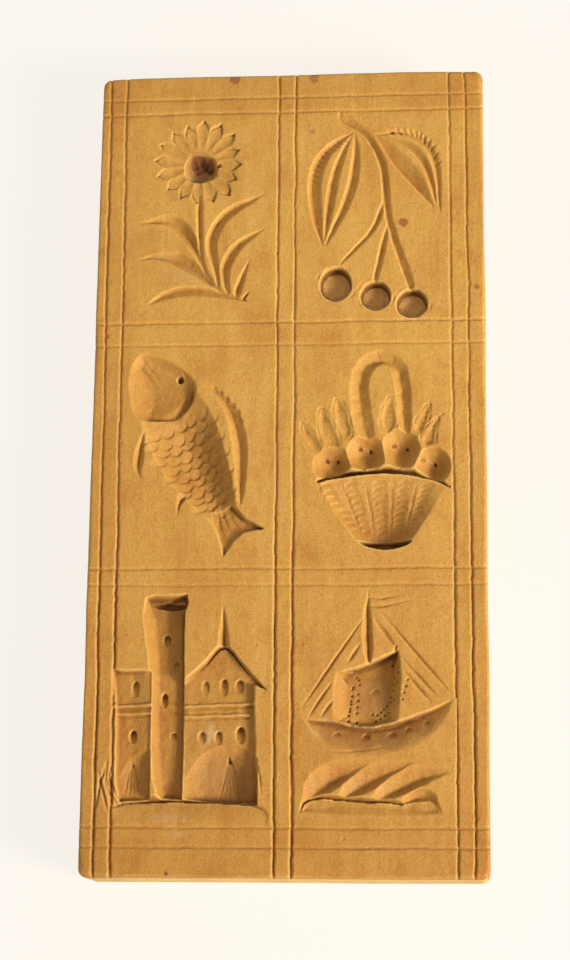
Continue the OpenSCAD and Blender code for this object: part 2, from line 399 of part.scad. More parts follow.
module board() {
    color(wood) difference() {
        intersection() {
            linear_extrude(thickness) union() {
                square([width - 2 * corner, length], center = true);
                square([width, length - 2 * corner], center = true);
                for (a = [-1, 1], b = [-1, 1])
                    translate([a * (width / 2 - corner), b * (length / 2 - corner)]) circle(corner);
            }
            rotate([90, 0, 0]) translate([0, 0, -length]) linear_extrude(2 * length)
                polygon([[-width / 2, wear / 2], [-width / 2 + wear / 2, 0], [width / 2 - wear / 2, 0],
                    [width / 2, wear / 2],
                    [width / 2, thickness - wear], [width / 2 - wear, thickness], [wear - width / 2, thickness],
                    [-width / 2, thickness - wear]]);
            rotate([90, 0, 90]) translate([0, 0, -width]) linear_extrude(2 * width)
                polygon([[-length / 2, wear / 2], [-length / 2 + wear / 2, 0], [length / 2 - wear / 2, 0],
                    [length / 2, wear / 2],
                    [length / 2, thickness - wear], [length / 2 - wear, thickness],
                        [wear - length / 2, thickness],
                    [-length / 2, thickness - wear]]);
        }
        scored_lines();
        for (c = cherries)
            translate([c[0] * sx, c[1] * sy, thickness - cherry_depth]) cylinder(h = 30, d = cherry_size);
        translate([flower_eye[0] * sx, flower_eye[1] * sy, thickness - eye_depth]) cylinder(h = 30, d = 8.6);
        resize([0, 0, 0]) union() flower_cuts();
        resize([0, 0, 0]) union() cherry_cuts();
        resize([0, 0, 0]) union() fish_cuts();
        resize([0, 0, 0]) union() basket_cuts();
        resize([0, 0, 0]) union() castle_cuts();
        resize([0, 0, 0]) union() ship_cuts();
    }
}

board();
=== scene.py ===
import math

import bpy
import numpy as np
from mathutils import Matrix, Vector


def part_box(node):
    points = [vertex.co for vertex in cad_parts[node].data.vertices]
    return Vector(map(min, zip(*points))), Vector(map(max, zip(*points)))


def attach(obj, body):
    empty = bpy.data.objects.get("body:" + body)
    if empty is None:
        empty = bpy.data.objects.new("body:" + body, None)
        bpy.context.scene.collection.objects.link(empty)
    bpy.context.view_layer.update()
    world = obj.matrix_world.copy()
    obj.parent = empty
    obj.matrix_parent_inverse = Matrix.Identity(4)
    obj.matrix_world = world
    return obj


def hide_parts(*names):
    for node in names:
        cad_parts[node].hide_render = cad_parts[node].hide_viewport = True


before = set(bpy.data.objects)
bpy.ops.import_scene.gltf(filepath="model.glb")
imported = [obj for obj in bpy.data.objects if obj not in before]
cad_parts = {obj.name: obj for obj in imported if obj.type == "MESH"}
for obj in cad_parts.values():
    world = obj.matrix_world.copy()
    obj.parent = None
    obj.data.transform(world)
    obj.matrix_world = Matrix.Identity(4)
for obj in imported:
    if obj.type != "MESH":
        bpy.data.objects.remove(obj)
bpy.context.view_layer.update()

# The plank is carved as a map of depths in millimetres over its upper face, which becomes one closed mesh.
LO, HI = [np.array(corner) * 1000 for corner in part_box("board")]
W, L, T = HI - LO
SX, SY = W / 110, L / 229          # the points below are for a plank of 110 by 229 mm
STEP = 0.25                        # grid of the upper face, mm
CHERRY = 4.5                       # depth of the cherries, mm
NX, NY = 4 * int(round(W / STEP / 4)) + 1, 4 * int(round(L / STEP / 4)) + 1
XS, YS = np.linspace(-W / 2, W / 2, NX), np.linspace(-L / 2, L / 2, NY)
X, Y = np.meshgrid(XS, YS)
D = np.zeros_like(X)               # how deep the wood is cut away
CUT = np.zeros_like(X)             # 1 where a tool has been
CHALK = np.zeros_like(X)           # pale dust left in a hollow
FLOOR = np.zeros_like(X)           # a drilled floor, which gets painted light
RND = np.random.default_rng(7)
_noises = {}


# ------------------------------------------------------------------ carving
def unit(value):
    """Held between 0 and 1."""
    return np.clip(value, 0, 1)


def noise(sx, sy, seed):
    """Smooth noise from -1 to 1 over the grid, with features of that size in mm."""
    if (sx, sy, seed) not in _noises:
        rows, cols = int(L / sy) + 6, int(W / sx) + 6
        g = np.random.default_rng(seed).uniform(-1, 1, (rows, cols))
        fx, fy = (X + W / 2) / sx + 1, (Y + L / 2) / sy + 1
        ix, iy = fx.astype(int), fy.astype(int)
        tx, ty = fx - ix, fy - iy
        tx, ty = tx * tx * (3 - 2 * tx), ty * ty * (3 - 2 * ty)
        low = g[iy, ix] * (1 - tx) + g[iy, ix + 1] * tx
        high = g[iy + 1, ix] * (1 - tx) + g[iy + 1, ix + 1] * tx
        _noises[sx, sy, seed] = low * (1 - ty) + high * ty
    return _noises[sx, sy, seed]


def blur(a, mm):
    """A map blurred over that distance."""
    s = mm / STEP
    k = int(math.ceil(3 * s))
    weights = np.exp(-0.5 * (np.arange(-k, k + 1) / s) ** 2)
    weights /= weights.sum()
    rows, cols = a.shape
    p = np.pad(a, ((k, k), (0, 0)), mode="edge")
    a = sum(w * p[i:i + rows] for i, w in enumerate(weights))
    p = np.pad(a, ((0, 0), (k, k)), mode="edge")
    return sum(w * p[:, i:i + cols] for i, w in enumerate(weights))


def curve(points, closed=False, n=6):
    """A smooth curve through rows of numbers, of which the first two are a place on the plank."""
    p = np.array([list(q) for q in points], float)
    p[:, 0] *= SX
    p[:, 1] *= SY
    if len(p) < 3:
        return p
    ends = (p[-1:], p[:2]) if closed else (2 * p[:1] - p[1:2], 2 * p[-1:] - p[-2:-1])
    q = np.vstack([ends[0], p, ends[1]])
    t = (np.arange(n) / n)[:, None]
    out = []
    for a, b, c, d in zip(q, q[1:], q[2:], q[3:]):
        bend = (2 * a - 5 * b + 4 * c - d) * t * t + (3 * b - a - 3 * c + d) * t ** 3
        out.append(0.5 * (2 * b + (c - a) * t + bend))
    return np.vstack(out + ([] if closed else [p[-1:]]))


def window(x0, x1, y0, y1):
    """The part of the grid between those places."""
    i0, i1 = np.searchsorted(XS, [x0, x1])
    j0, j1 = np.searchsorted(YS, [y0, y1])
    return slice(max(j0 - 1, 0), j1 + 1), slice(max(i0 - 1, 0), i1 + 1)


def around(x, y, r):
    return window((x - r) * SX, (x + r) * SX, (y - r) * SY, (y + r) * SY)


def near(p, pad):
    """Around the line p: the window of the grid, the distance there (positive on the left), and p's numbers."""
    w = window(p[:, 0].min() - pad, p[:, 0].max() + pad, p[:, 1].min() - pad, p[:, 1].max() + pad)
    x, y = X[w], Y[w]
    best, side = np.full(x.shape, 1e9), np.ones(x.shape)
    value = np.zeros(x.shape + (p.shape[1],))
    for a, b in zip(p[:-1], p[1:]):
        dx, dy = b[0] - a[0], b[1] - a[1]
        if dx * dx + dy * dy < 1e-9:
            continue
        t = unit(((x - a[0]) * dx + (y - a[1]) * dy) / (dx * dx + dy * dy))
        ex, ey = x - a[0] - t * dx, y - a[1] - t * dy
        d = np.hypot(ex, ey)
        m = d < best
        best[m] = d[m]
        side[m] = np.where(dx * ey - dy * ex >= 0, 1, -1)[m]
        value[m] = (a + (b - a) * t[..., None])[m]
    return w, best * side, value


def vee(u, k=0.0):
    """Cross-section of a cut over u from -1, its right side, to 1; its bottom is at k."""
    return unit(np.where(u < k, (u + 1) / (1 + k), (1 - u) / (1 - k)))


def scoop(u, k=0.0):
    return unit(np.where(u < k, 1 - ((u - k) / (1 + k)) ** 2, 1 - ((u - k) / (1 - k)) ** 2)) ** 0.75


def rolled(u, k=0.0):
    """A cut with a rounded bottom and nearly straight sides."""
    v = vee(u, k)
    return 0.6 * v + 0.4 * np.sin(v * math.pi / 2)


def put(w, f, add=False):
    """Cuts the map f into the window w, or on top of what is cut there already."""
    D[w] = np.maximum(D[w] + f, 0) if add else np.maximum(D[w], f)
    CUT[w] = np.maximum(CUT[w], unit(np.abs(f) / 0.4))


def cut(points, shape=vee, k=0.0, add=False, wobble=0.07):
    """Cuts along a line of [x, y, width, depth]. A fifth number is k, the place of the bottom, where it changes."""
    p = curve(points)
    w, d, v = near(p, abs(p[:, 2]).max() / 2 + 0.6)
    u = (d + wobble * noise(1.6, 1.6, 11)[w]) / np.maximum(v[..., 2] / 2, 0.15)
    put(w, shape(u, v[..., 4] if p.shape[1] > 4 else k) * (np.abs(u) < 1) * v[..., 3], add)


def inside(x, y, p):
    c = np.zeros(x.shape, bool)
    for (ax, ay), (bx, by) in zip(p[:, :2], np.roll(p, -1, axis=0)[:, :2]):
        if ay != by:
            c ^= ((ay > y) != (by > y)) & (x < (bx - ax) * (y - ay) / (by - ay) + ax)
    return c


def well(points, depth, smooth=False, add=False, wobble=0.06, straight=False):
    """A hollow in an outline of [x, y, width of its wall]; depth is a number or a function of x and y."""
    p = curve(points, closed=True) if smooth else np.array([[q[0] * SX, q[1] * SY, q[2]] for q in points], float)
    w, d, v = near(np.vstack([p, p[:1]]), 0.5)
    x, y = X[w], Y[w]
    reach = unit((np.abs(d) + wobble * noise(2.2, 2.2, 5)[w]) / np.maximum(v[..., 2], 0.15))
    f = (reach if straight else np.sin(reach * math.pi / 2)) * inside(x, y, p)
    f = f * (depth(x / SX, y / SY) if callable(depth) else depth)
    put(w, f, add)


def pit(x0, y0, r, depth, add=True, power=2.0, ry=None, rough=0.05):
    """A round or oval pit."""
    ry = ry or r
    x0, y0 = x0 * SX, y0 * SY
    w = window(x0 - r * 1.3, x0 + r * 1.3, y0 - ry * 1.3, y0 + ry * 1.3)
    q = np.hypot((X[w] - x0) / r, (Y[w] - y0) / ry) + rough * noise(1.3, 1.3, 17)[w]
    put(w, depth * unit(1 - unit(q) ** power), add)


def gouge(x0, y0, angle, r, depth, width=1.0):
    """One mark of a gouge: it deepens toward angle and stops there against a small round wall."""
    x0, y0 = x0 * SX, y0 * SY
    w = window(x0 - r * 1.5, x0 + r * 1.5, y0 - r * 1.5, y0 + r * 1.5)
    ca, sa = math.cos(math.radians(angle)), math.sin(math.radians(angle))
    a = ((X[w] - x0) * ca + (Y[w] - y0) * sa) / r
    b = ((Y[w] - y0) * ca - (X[w] - x0) * sa) / (r * width)
    q = np.hypot(a, b) + 0.06 * noise(1.3, 1.3, 17)[w]
    put(w, depth * unit(0.35 + 0.65 * a) ** 1.5 * unit((1 - q) / 0.16), True)


def scored_lines():
    """Scored border lines: [x at the top edge, x at the bottom edge, how strong], then [y, how strong]."""
    for top, foot, strong in [[-52.5, -50.8, 1.1], [-47.8, -46.2, 1.05], [-3.7, -2.5, 1], [1.2, 2.2, 1.05],
            [45, 46.3, 0.8], [49.7, 51, 0.95]]:
        ys = np.linspace(-116, 116, 22)
        low = unit((10 - ys) / 60)        # cut deeper in the lower half
        cut([[foot + (top - foot) * (y + 114.5) / 229 + RND.normal(0, 0.1), y,
            0.95 + 0.15 * strong * s + RND.normal(0, 0.08),
            strong * (0.62 + 0.4 * s + RND.normal(0, 0.06))] for y, s in zip(ys, low)], vee, 0.1, wobble=0.14)
    for y, strong in [[107.3, 0.9], [102.8, 1], [39.6, 1.05], [33, 0.8], [-30.9, 1], [-35.5, 0.7],
            [-101.2, 0.9], [-106.4, 1]]:
        cut([[x, y + RND.normal(0, 0.08), 1.05 + RND.normal(0, 0.08),
            strong * (0.55 + RND.normal(0, 0.07))] for x in np.linspace(-57, 57, 13)], vee, -0.1, wobble=0.1)


def carve_flower():
    cx, cy = -26.2, 87.7
    w = around(cx, cy, 14)
    q = np.hypot(X[w] - cx * SX, Y[w] - cy * SY)
    put(w, 0.5 * unit((11.4 - q) / 4) + 0.5 * unit((7 - q) / 4))
    for i in range(16):                            # petals
        a = math.radians(22.5 * i + 4)
        r = 12.3 + 0.6 * math.sin(3 * a) + RND.normal(0, 0.25)
        def at(q, off=0.0):
            return cx + q * math.sin(a + off), cy + q * math.cos(a + off)
        cut([[*at(5), 2.6, 0.9], [*at(8), 4.4, 0.82], [*at(9.8), 4.2, 0.68], [*at(r - 0.9), 2.6, 0.62],
            [*at(r), 0.7, 0.5]], scoop, wobble=0.16)
        for side in (-1, 1):                       # the stop cuts round its tip
            cut([[*at(r - 4.2, side * 0.19), 0.3, 0.0],
                [*at(r - 1.9, side * 0.14), 0.6, RND.uniform(0.1, 0.75)], [*at(r + 0.1), 0.55, 0.6]], vee,
                add=True, wobble=0.14)
    # the eye, a round hollow with a ragged bottom
    q = np.hypot((X[w] + 26.0 * SX) / 5.2, (Y[w] - 86.2 * SY) / 4.8) + 0.06 * noise(2.2, 2.2, 5)[w]
    put(w, 4.9 * unit(1 - unit(q) ** 2.8) ** 0.9 * (1 + 0.07 * noise(1.3, 1.3, 17)[w]))
    for x, y, r, d in [(-28.2, 88.2, 1.3, 0.9), (-26.0, 89.0, 1.1, 0.9), (-23.4, 86.6, 1.0, 0.9),
            (-27.4, 86.2, 0.8, 0.6), (-24.8, 87.6, 0.7, 0.8), (-20.9, 86.9, 0.7, 1.5), (-21.3, 83.9, 0.5, 0.5)]:
        pit(x, y, r, d, rough=0.2)
    cut([[-26, 77.5, 1.6, 1], [-25.9, 74, 2, 1.2], [-25.8, 70, 2, 1.25], [-25.5, 64, 1.8, 1.2],
        [-24.9, 58, 1.5, 1.1], [-23.2, 53.6, 1.4, 1], [-20, 49.6, 1.6, 1], [-15.5, 47.2, 1.6, 0.9],
        [-12.6, 46.2, 1, 0.5]], vee, -0.45)
    for leaf in [[[-43, 69.6, 0.4, 0.3], [-39, 70.2, 1.8, 1.0], [-35, 70.4, 3.6, 1.6], [-31.5, 68.2, 4.8, 2.1],
            [-28.4, 64.2, 3.8, 2.0], [-26.4, 60.2, 2.2, 1.4], [-25, 56.5, 1, 0.7]], [[-42.8, 58.6, 0.4, 0.3],
            [-39, 59.4, 1.6, 0.9], [-35, 59.2, 3.0, 1.4], [-31.5, 58.2, 4.4, 1.9], [-28, 56.2, 4.4, 2.0],
            [-25, 53.7, 3.4, 1.7], [-22.5, 51.4, 2, 1.2], [-20.4, 49.6, 0.8, 0.5]]]:
        cut(leaf, rolled, -0.1)
    for leaf in [[[-20.2, 50, 1, 0.7], [-20.6, 54, 1.7, 1], [-21.6, 58.5, 2.6, 1.3], [-22.3, 63, 3.3, 1.6],
            [-21.4, 67, 3.5, 1.6], [-19, 70.8, 3.3, 1.5], [-15.5, 73.6, 2.8, 1.3], [-11.5, 75.6, 1.8, 0.8],
            [-7.8, 77.6, 0.4, 0.2]], [[-17.3, 48.4, 1.4, 0.8], [-18, 51.5, 2.2, 1.2], [-18.2, 55.5, 3, 1.4],
            [-17, 59, 3.2, 1.4], [-14.5, 62.5, 2.8, 1.2], [-11, 65, 1.8, 0.8], [-7.5, 67.2, 0.4, 0.2]],
            [[-14.8, 46.8, 1.4, 0.6], [-14.6, 49, 2.3, 1.2], [-13.6, 52, 2, 1.2], [-12.6, 55, 1.2, 0.7],
            [-11.5, 58, 0.3, 0.2]], [[-40.2, 45.1, 0.4, 0.2], [-37.5, 46.6, 1.6, 0.8], [-34.5, 48, 2.6, 1.2],
            [-31, 48.8, 3, 1.4], [-27, 48.9, 3, 1.4], [-23, 48.5, 2.6, 1.2], [-19, 47.8, 2, 1],
            [-15.5, 46.9, 1.4, 0.8]]]:
        cut(leaf, rolled, 0.45)
    # chatter of the gouge
    for x, y, a in [(-33.5, 70.5, 60), (-30.5, 67.5, 45), (-31.8, 59.8, 60), (-28.6, 57.2, 45),
            (-21.7, 64.5, 100), (-20.5, 69, 130), (-16.5, 58, 120), (-14, 62.6, 150)]:
        gouge(x, y, a, 0.9, 0.25, 1.4)
    cut([[-13.4, 46.2, 0.4, 0.5], [-12.4, 47.4, 0.8, 1.2], [-11.5, 48.6, 0.3, 0.4]], vee, add=True)
    cut([[-13, 46.9, 0.6, 0.8], [-12, 45.4, 0.3, 0.3]], vee, add=True)


# Strokes of the sprig: the stalks, then the two leaves, each with the place of its bottom
SPRIG = [
    ([[13.8, 102.6, 0.6, 0.3], [14.6, 100.6, 2.4, 0.8], [16.8, 99.4, 3, 1.0], [19.3, 97.4, 2.2, 1.1],
      [21.6, 95.2, 1.9, 1.1], [23.6, 92.2, 2, 1.2], [25.3, 88.8, 2.2, 1.3], [26.4, 85, 2.3, 1.3],
      [27, 80.5, 2.3, 1.3], [27.3, 76, 2.2, 1.3], [27.9, 71, 2.1, 1.2], [28.9, 66.5, 2.2, 1.3],
      [30.2, 62, 2.3, 1.3], [31.7, 57.5, 2.4, 1.3], [33.2, 53, 2.4, 1.3], [34.3, 49.5, 2.2, 1.3]], -0.5),
    ([[26.6, 75.4, 0.6, 0.4], [25.6, 71.5, 1.7, 1], [24, 67.5, 1.6, 0.9], [21.5, 64, 1.4, 0.8],
      [18.5, 60.8, 1.2, 0.8], [15.4, 57.6, 0.9, 0.6], [14.2, 56.2, 0.5, 0.3]], -0.4),
    ([[27.6, 67.5, 0.6, 0.4], [27, 64.5, 1.6, 0.9], [26.1, 60.5, 1.9, 1.1], [25.3, 56.5, 1.9, 1.1],
      [24.4, 52.6, 1.8, 1], [24.2, 51, 1.4, 0.8]], -0.4),
    # left leaf
    ([[17.6, 95.9, 0.4, 0.2], [13.5, 93, 2.2, 1], [10, 89.6, 3.4, 1.4], [7.8, 85.4, 4, 1.6], [6.9, 80.8, 4, 1.6],
      [7, 76, 3.8, 1.5], [7.5, 71, 3.2, 1.3], [8.3, 66.4, 2, 1], [9.3, 62, 0.5, 0.3]], -0.45),
    ([[17.2, 94.8, 0.4, 0.2], [15, 90, 1.9, 0.9], [13.4, 85.5, 2.5, 1.2], [12.2, 80.5, 2.8, 1.3],
      [11.4, 75, 2.7, 1.3], [10.7, 69.5, 2, 1.1], [9.8, 63.5, 0.5, 0.3]], -0.4),
    ([[18.2, 95.5, 0.4, 0.2], [18.7, 91, 1.9, 1], [18.5, 86, 2.6, 1.4], [17.8, 81, 3, 1.4], [16.4, 76, 2.9, 1.3],
      [14.4, 71, 2.3, 1.2], [12.2, 66.5, 1.7, 1], [10.1, 62, 0.4, 0.3]], -0.4),
    # right leaf
    ([[24.6, 94.2, 0.5, 0.3], [28.1, 90.7, 3.2, 1.2], [31.2, 87, 4.8, 1.7], [34.5, 83, 4.6, 1.7],
      [37.4, 78.6, 3.2, 1.4], [40.4, 73.2, 0.5, 0.3]], -0.6),
    ([[27.6, 94.8, 0.5, 0.3], [31.6, 93.2, 2, 0.9], [35.3, 90.4, 2.5, 1.2], [38, 86.5, 2.5, 1.3],
      [39.7, 82, 2, 1.1], [40.9, 77, 1.2, 0.8], [41.2, 74, 0.4, 0.3]], -0.3),
    ([[24.2, 95, 0.4, 0.3], [26.5, 95.3, 0.9, 0.5], [30, 95.8, 1, 0.6], [34.5, 94.8, 1.8, 0.9], [37.6, 93, 2.4, 1.1],
      [40, 89.8, 2.6, 1.1], [41.4, 85.5, 2.4, 1], [42, 80.5, 1.8, 0.9], [42.2, 75.5, 1.2, 0.7],
      [42.4, 71.2, 0.4, 0.3]], -0.2)]


def carve_cherries():
    for x, y, rx, ry in [(13, 50.4, 4.5, 5.0), (24.2, 46.8, 4.25, 4.25), (34.4, 44.4, 4.35, 4.2)]:
        w = around(x, y, 8)
        q = np.hypot((X[w] - x * SX) / rx, (Y[w] - y * SY) / ry) + 0.02 * noise(1.6, 1.6, 11)[w]
        put(w, unit((1 - q) / 0.1) ** 0.6 * (CHERRY + 0.15 * noise(0.9, 1.1, 55)[w]))
        FLOOR[w] = np.maximum(FLOOR[w], unit((0.89 - q) / 0.05))
        for k in range(9):                          # wood that chipped at the rim
            a = RND.uniform(10, 170) + 180 * (k % 3 == 0)
            px, py = x + (rx + 0.5) * math.cos(math.radians(a)), y + (ry + 0.5) * math.sin(math.radians(a))
            gouge(px, py, a + 180 * (k % 2), RND.uniform(0.6, 1.1), 0.3, 1.8)
    for points, k in SPRIG:
        cut(points, rolled, k)
    outer = curve([[28, 96.3], [32, 96.6], [35.4, 95.9], [38.2, 94.4], [40.7, 91.4], [42.3, 86.5],
        [42.9, 80.5]], n=2)
    for (x, y), (u, v) in zip(outer[:-2], outer[1:-1]):        # teeth along the right leaf
        a = math.atan2(v - y, u - x) - 0.9
        ln = RND.uniform(1.6, 2.5)
        cut([[x / SX, y / SY, 1.1, 0.5], [x / SX + 0.5 * ln * math.cos(a), y / SY + 0.5 * ln * math.sin(a), 1.0,
            0.5], [x / SX + ln * math.cos(a), y / SY + ln * math.sin(a), 0.4, 0.1]], vee, add=True, wobble=0.2)
    left = curve([[15.5, 95], [12, 92.6], [8.6, 89.4], [6.6, 85.4], [5.6, 80.5]], n=3)
    for x, y in left[1:-1]:                        # chatter on the left leaf
        cut([[x / SX, y / SY, 0.8, 0.25], [x / SX + 1.3, y / SY - 0.8, 0.8, 0.35],
            [x / SX + 2.4, y / SY - 1.2, 0.4, 0.1]], vee, add=True)
    cut([[27, 97.6, 0.3, 0.1], [31, 97.4, 0.8, 0.25], [33.4, 96.8, 0.4, 0.1]], vee)
    pit(31.4, 95.4, 0.5, 0.5)
    pit(29, 95.8, 0.5, 0.5)


def carve_fish():
    def head(x, y):                                # deepest at the cheek, rising toward the gill
        return 4.1 - 0.10 * np.clip(x + 37, 0, 12) - 0.19 * np.clip(y - 17, 0, 13)
    well([[-43.4, 28.6, 2.6], [-41.6, 30.6, 2.4], [-38, 30.4, 2.4], [-34, 28.9, 2.6], [-30.6, 26.8, 2.8],
        [-27.6, 24.2, 2.6], [-25.9, 21.4, 2.2], [-26.2, 17.4, 1.3], [-28.2, 13.7, 1.5], [-31.6, 11.2, 1.5],
        [-35.6, 10.4, 2.4], [-39.4, 10.6, 3.6], [-42.2, 12, 6], [-43.6, 14.5, 6.2], [-44.8, 21, 6.2],
        [-44.6, 26, 4.4]], head, smooth=True)
    body = [[-33.6, 16.4, 17, 2.4], [-32.2, 13, 19, 3.4], [-30.4, 9.2, 19.6, 4.6], [-28.4, 5, 19.4, 5.2],
        [-26.4, 0.5, 18.6, 5.2], [-24.3, -3.5, 17, 4.9], [-22, -7.5, 14.6, 4.3], [-19.9, -11.3, 11.6, 3.4],
        [-18.2, -14.6, 9, 2.5], [-16.9, -17.4, 8.2, 1.9], [-15.8, -19.6, 8, 1.4]]
    cut(body, lambda u, k: unit(1 - np.abs(u) ** 1.6), wobble=0.15)
    # the gill, a deep curved stop cut between the head and the body
    cut([[-26.6, 21.2, 0.8, 0.1], [-27.7, 18.8, 2.4, 0.7], [-29.1, 16.3, 3.0, 1.0], [-31, 14.2, 3.0, 1.0],
        [-33.6, 12.9, 2.4, 0.7], [-37.4, 12.4, 1.4, 0.1]], rolled, 0.3, add=True)
    well([[-21.6, -14.5, 1.2], [-15.2, -12.5, 1.2], [-11.4, -16.6, 1.5], [-6.2, -19.9, 0.3], [-8.6, -20.3, 0.8],
        [-11.6, -20.9, 0.8], [-14.2, -22.8, 0.8], [-15.6, -25.2, 0.8], [-17.3, -27.6, 0.3], [-19, -21.5, 1.2]],
        lambda x, y: 1.2 + 0.17 * np.clip(y + 24, 0, 11), wobble=0.1)
    rows = curve(body, n=8)
    along = np.concatenate([[0], np.cumsum(np.hypot(*np.diff(rows[:, :2], axis=0).T))])
    s, row = 6.5, 0
    while s < 31:                                  # scales, in staggered rows
        i = int(np.searchsorted(along, s))
        (x, y, width, deep), step = rows[i], rows[i] - rows[i - 1]
        a = math.atan2(step[1], step[0])
        count = max(2, int(round(width / 3.7)))
        for j in range(count + row % 2):
            v = (j + 0.5 - (count + row % 2) / 2) / (count / 2) * 0.92
            if abs(v) > 0.98:
                continue
            h = v * width / 2
            back = 0.9 * v * v                     # the rows curve back at the belly and the back
            px, py = x - math.sin(a) * h - math.cos(a) * back, y + math.cos(a) * h - math.sin(a) * back
            turn = math.degrees(a) + RND.normal(0, 6) - 14 * v
            gouge(px / SX + RND.normal(0, 0.22), py / SY + RND.normal(0, 0.22), turn, 2.3 + RND.normal(0, 0.15),
                0.75 * (1 - 0.3 * v * v), 1.0)
        s += 2.7
        row += 1
    for (x0, y0), (x1, y1) in [((-21, -12.6), (-18.4, -22.4)), ((-19.6, -13), (-16.8, -23.6)),
            ((-18.6, -13), (-15.4, -21)), ((-16.9, -14), (-12.8, -20)), ((-15.4, -13.6), (-10, -19.2)),
            ((-19, -17), (-17.3, -25.4))]:
        cut([[x0, y0, 0.4, 0.15], [(x0 + x1) / 2 - 0.3, (y0 + y1) / 2, 0.7, 0.45], [x1, y1, 0.3, 0.1]], vee,
            add=True)
    gouge(-18.6, -14.6, -60, 2.0, 0.5, 0.7)
    cut([[-12.9, -12.6, 1, 0.4], [-12.9, -7.5, 2.8, 1.2], [-12.9, -2, 3.7, 1.5], [-13.2, 3.5, 4.2, 1.8],
        [-14.1, 8.5, 4.2, 1.9], [-15.6, 13, 3.6, 1.7], [-17.8, 16.6, 2.8, 1.4], [-20.5, 19.3, 1.8, 0.9],
        [-24.2, 21.4, 0.4, 0.2]], rolled, 0.1)
    for x, y in [(-21, 19.8), (-19.4, 18.8), (-17.6, 17.2), (-15.8, 15.2), (-14.5, 13.2), (-13.6, 10.8)]:
        gouge(x, y, 40, 1.1, 0.6, 1.1)
    cut([[-41, -5, 0.4, 0.2], [-41.6, -2.6, 2, 0.9], [-41.4, 0.4, 3, 1.5], [-41, 4, 2.2, 1.3],
        [-40.2, 8.2, 0.4, 0.3]], vee, 0.1)
    cut([[-41.3, 3, 0.4, 0.2], [-39.7, 4.7, 0.6, 0.6], [-39, 5, 0.4, 0.2]], vee, add=True)
    cut([[-30.4, -15.8, 0.4, 0.2], [-30, -12.8, 1.4, 0.9], [-29.2, -10.6, 2.8, 1.3], [-28.4, -8.2, 1.6, 0.8]],
        vee, -0.5)
    for points in [[[-42.2, 27.6, 0.3, 0.3], [-39.8, 24.6, 0.55, 0.4], [-37.6, 21.8, 0.3, 0.2]],
            [[-41.2, 29, 0.3, 0.3], [-38.8, 26.2, 0.55, 0.4], [-36.5, 23.4, 0.3, 0.2]]]:
        cut(points, vee, add=True, wobble=0.03)
    pit(-30.6, 23.4, 1.0, 1.9, power=3)
    cut([[-29.8, 25.4, 0.5, 0.4], [-28.9, 24, 0.6, 0.5], [-28.4, 22.8, 0.3, 0.2]], vee, add=True)


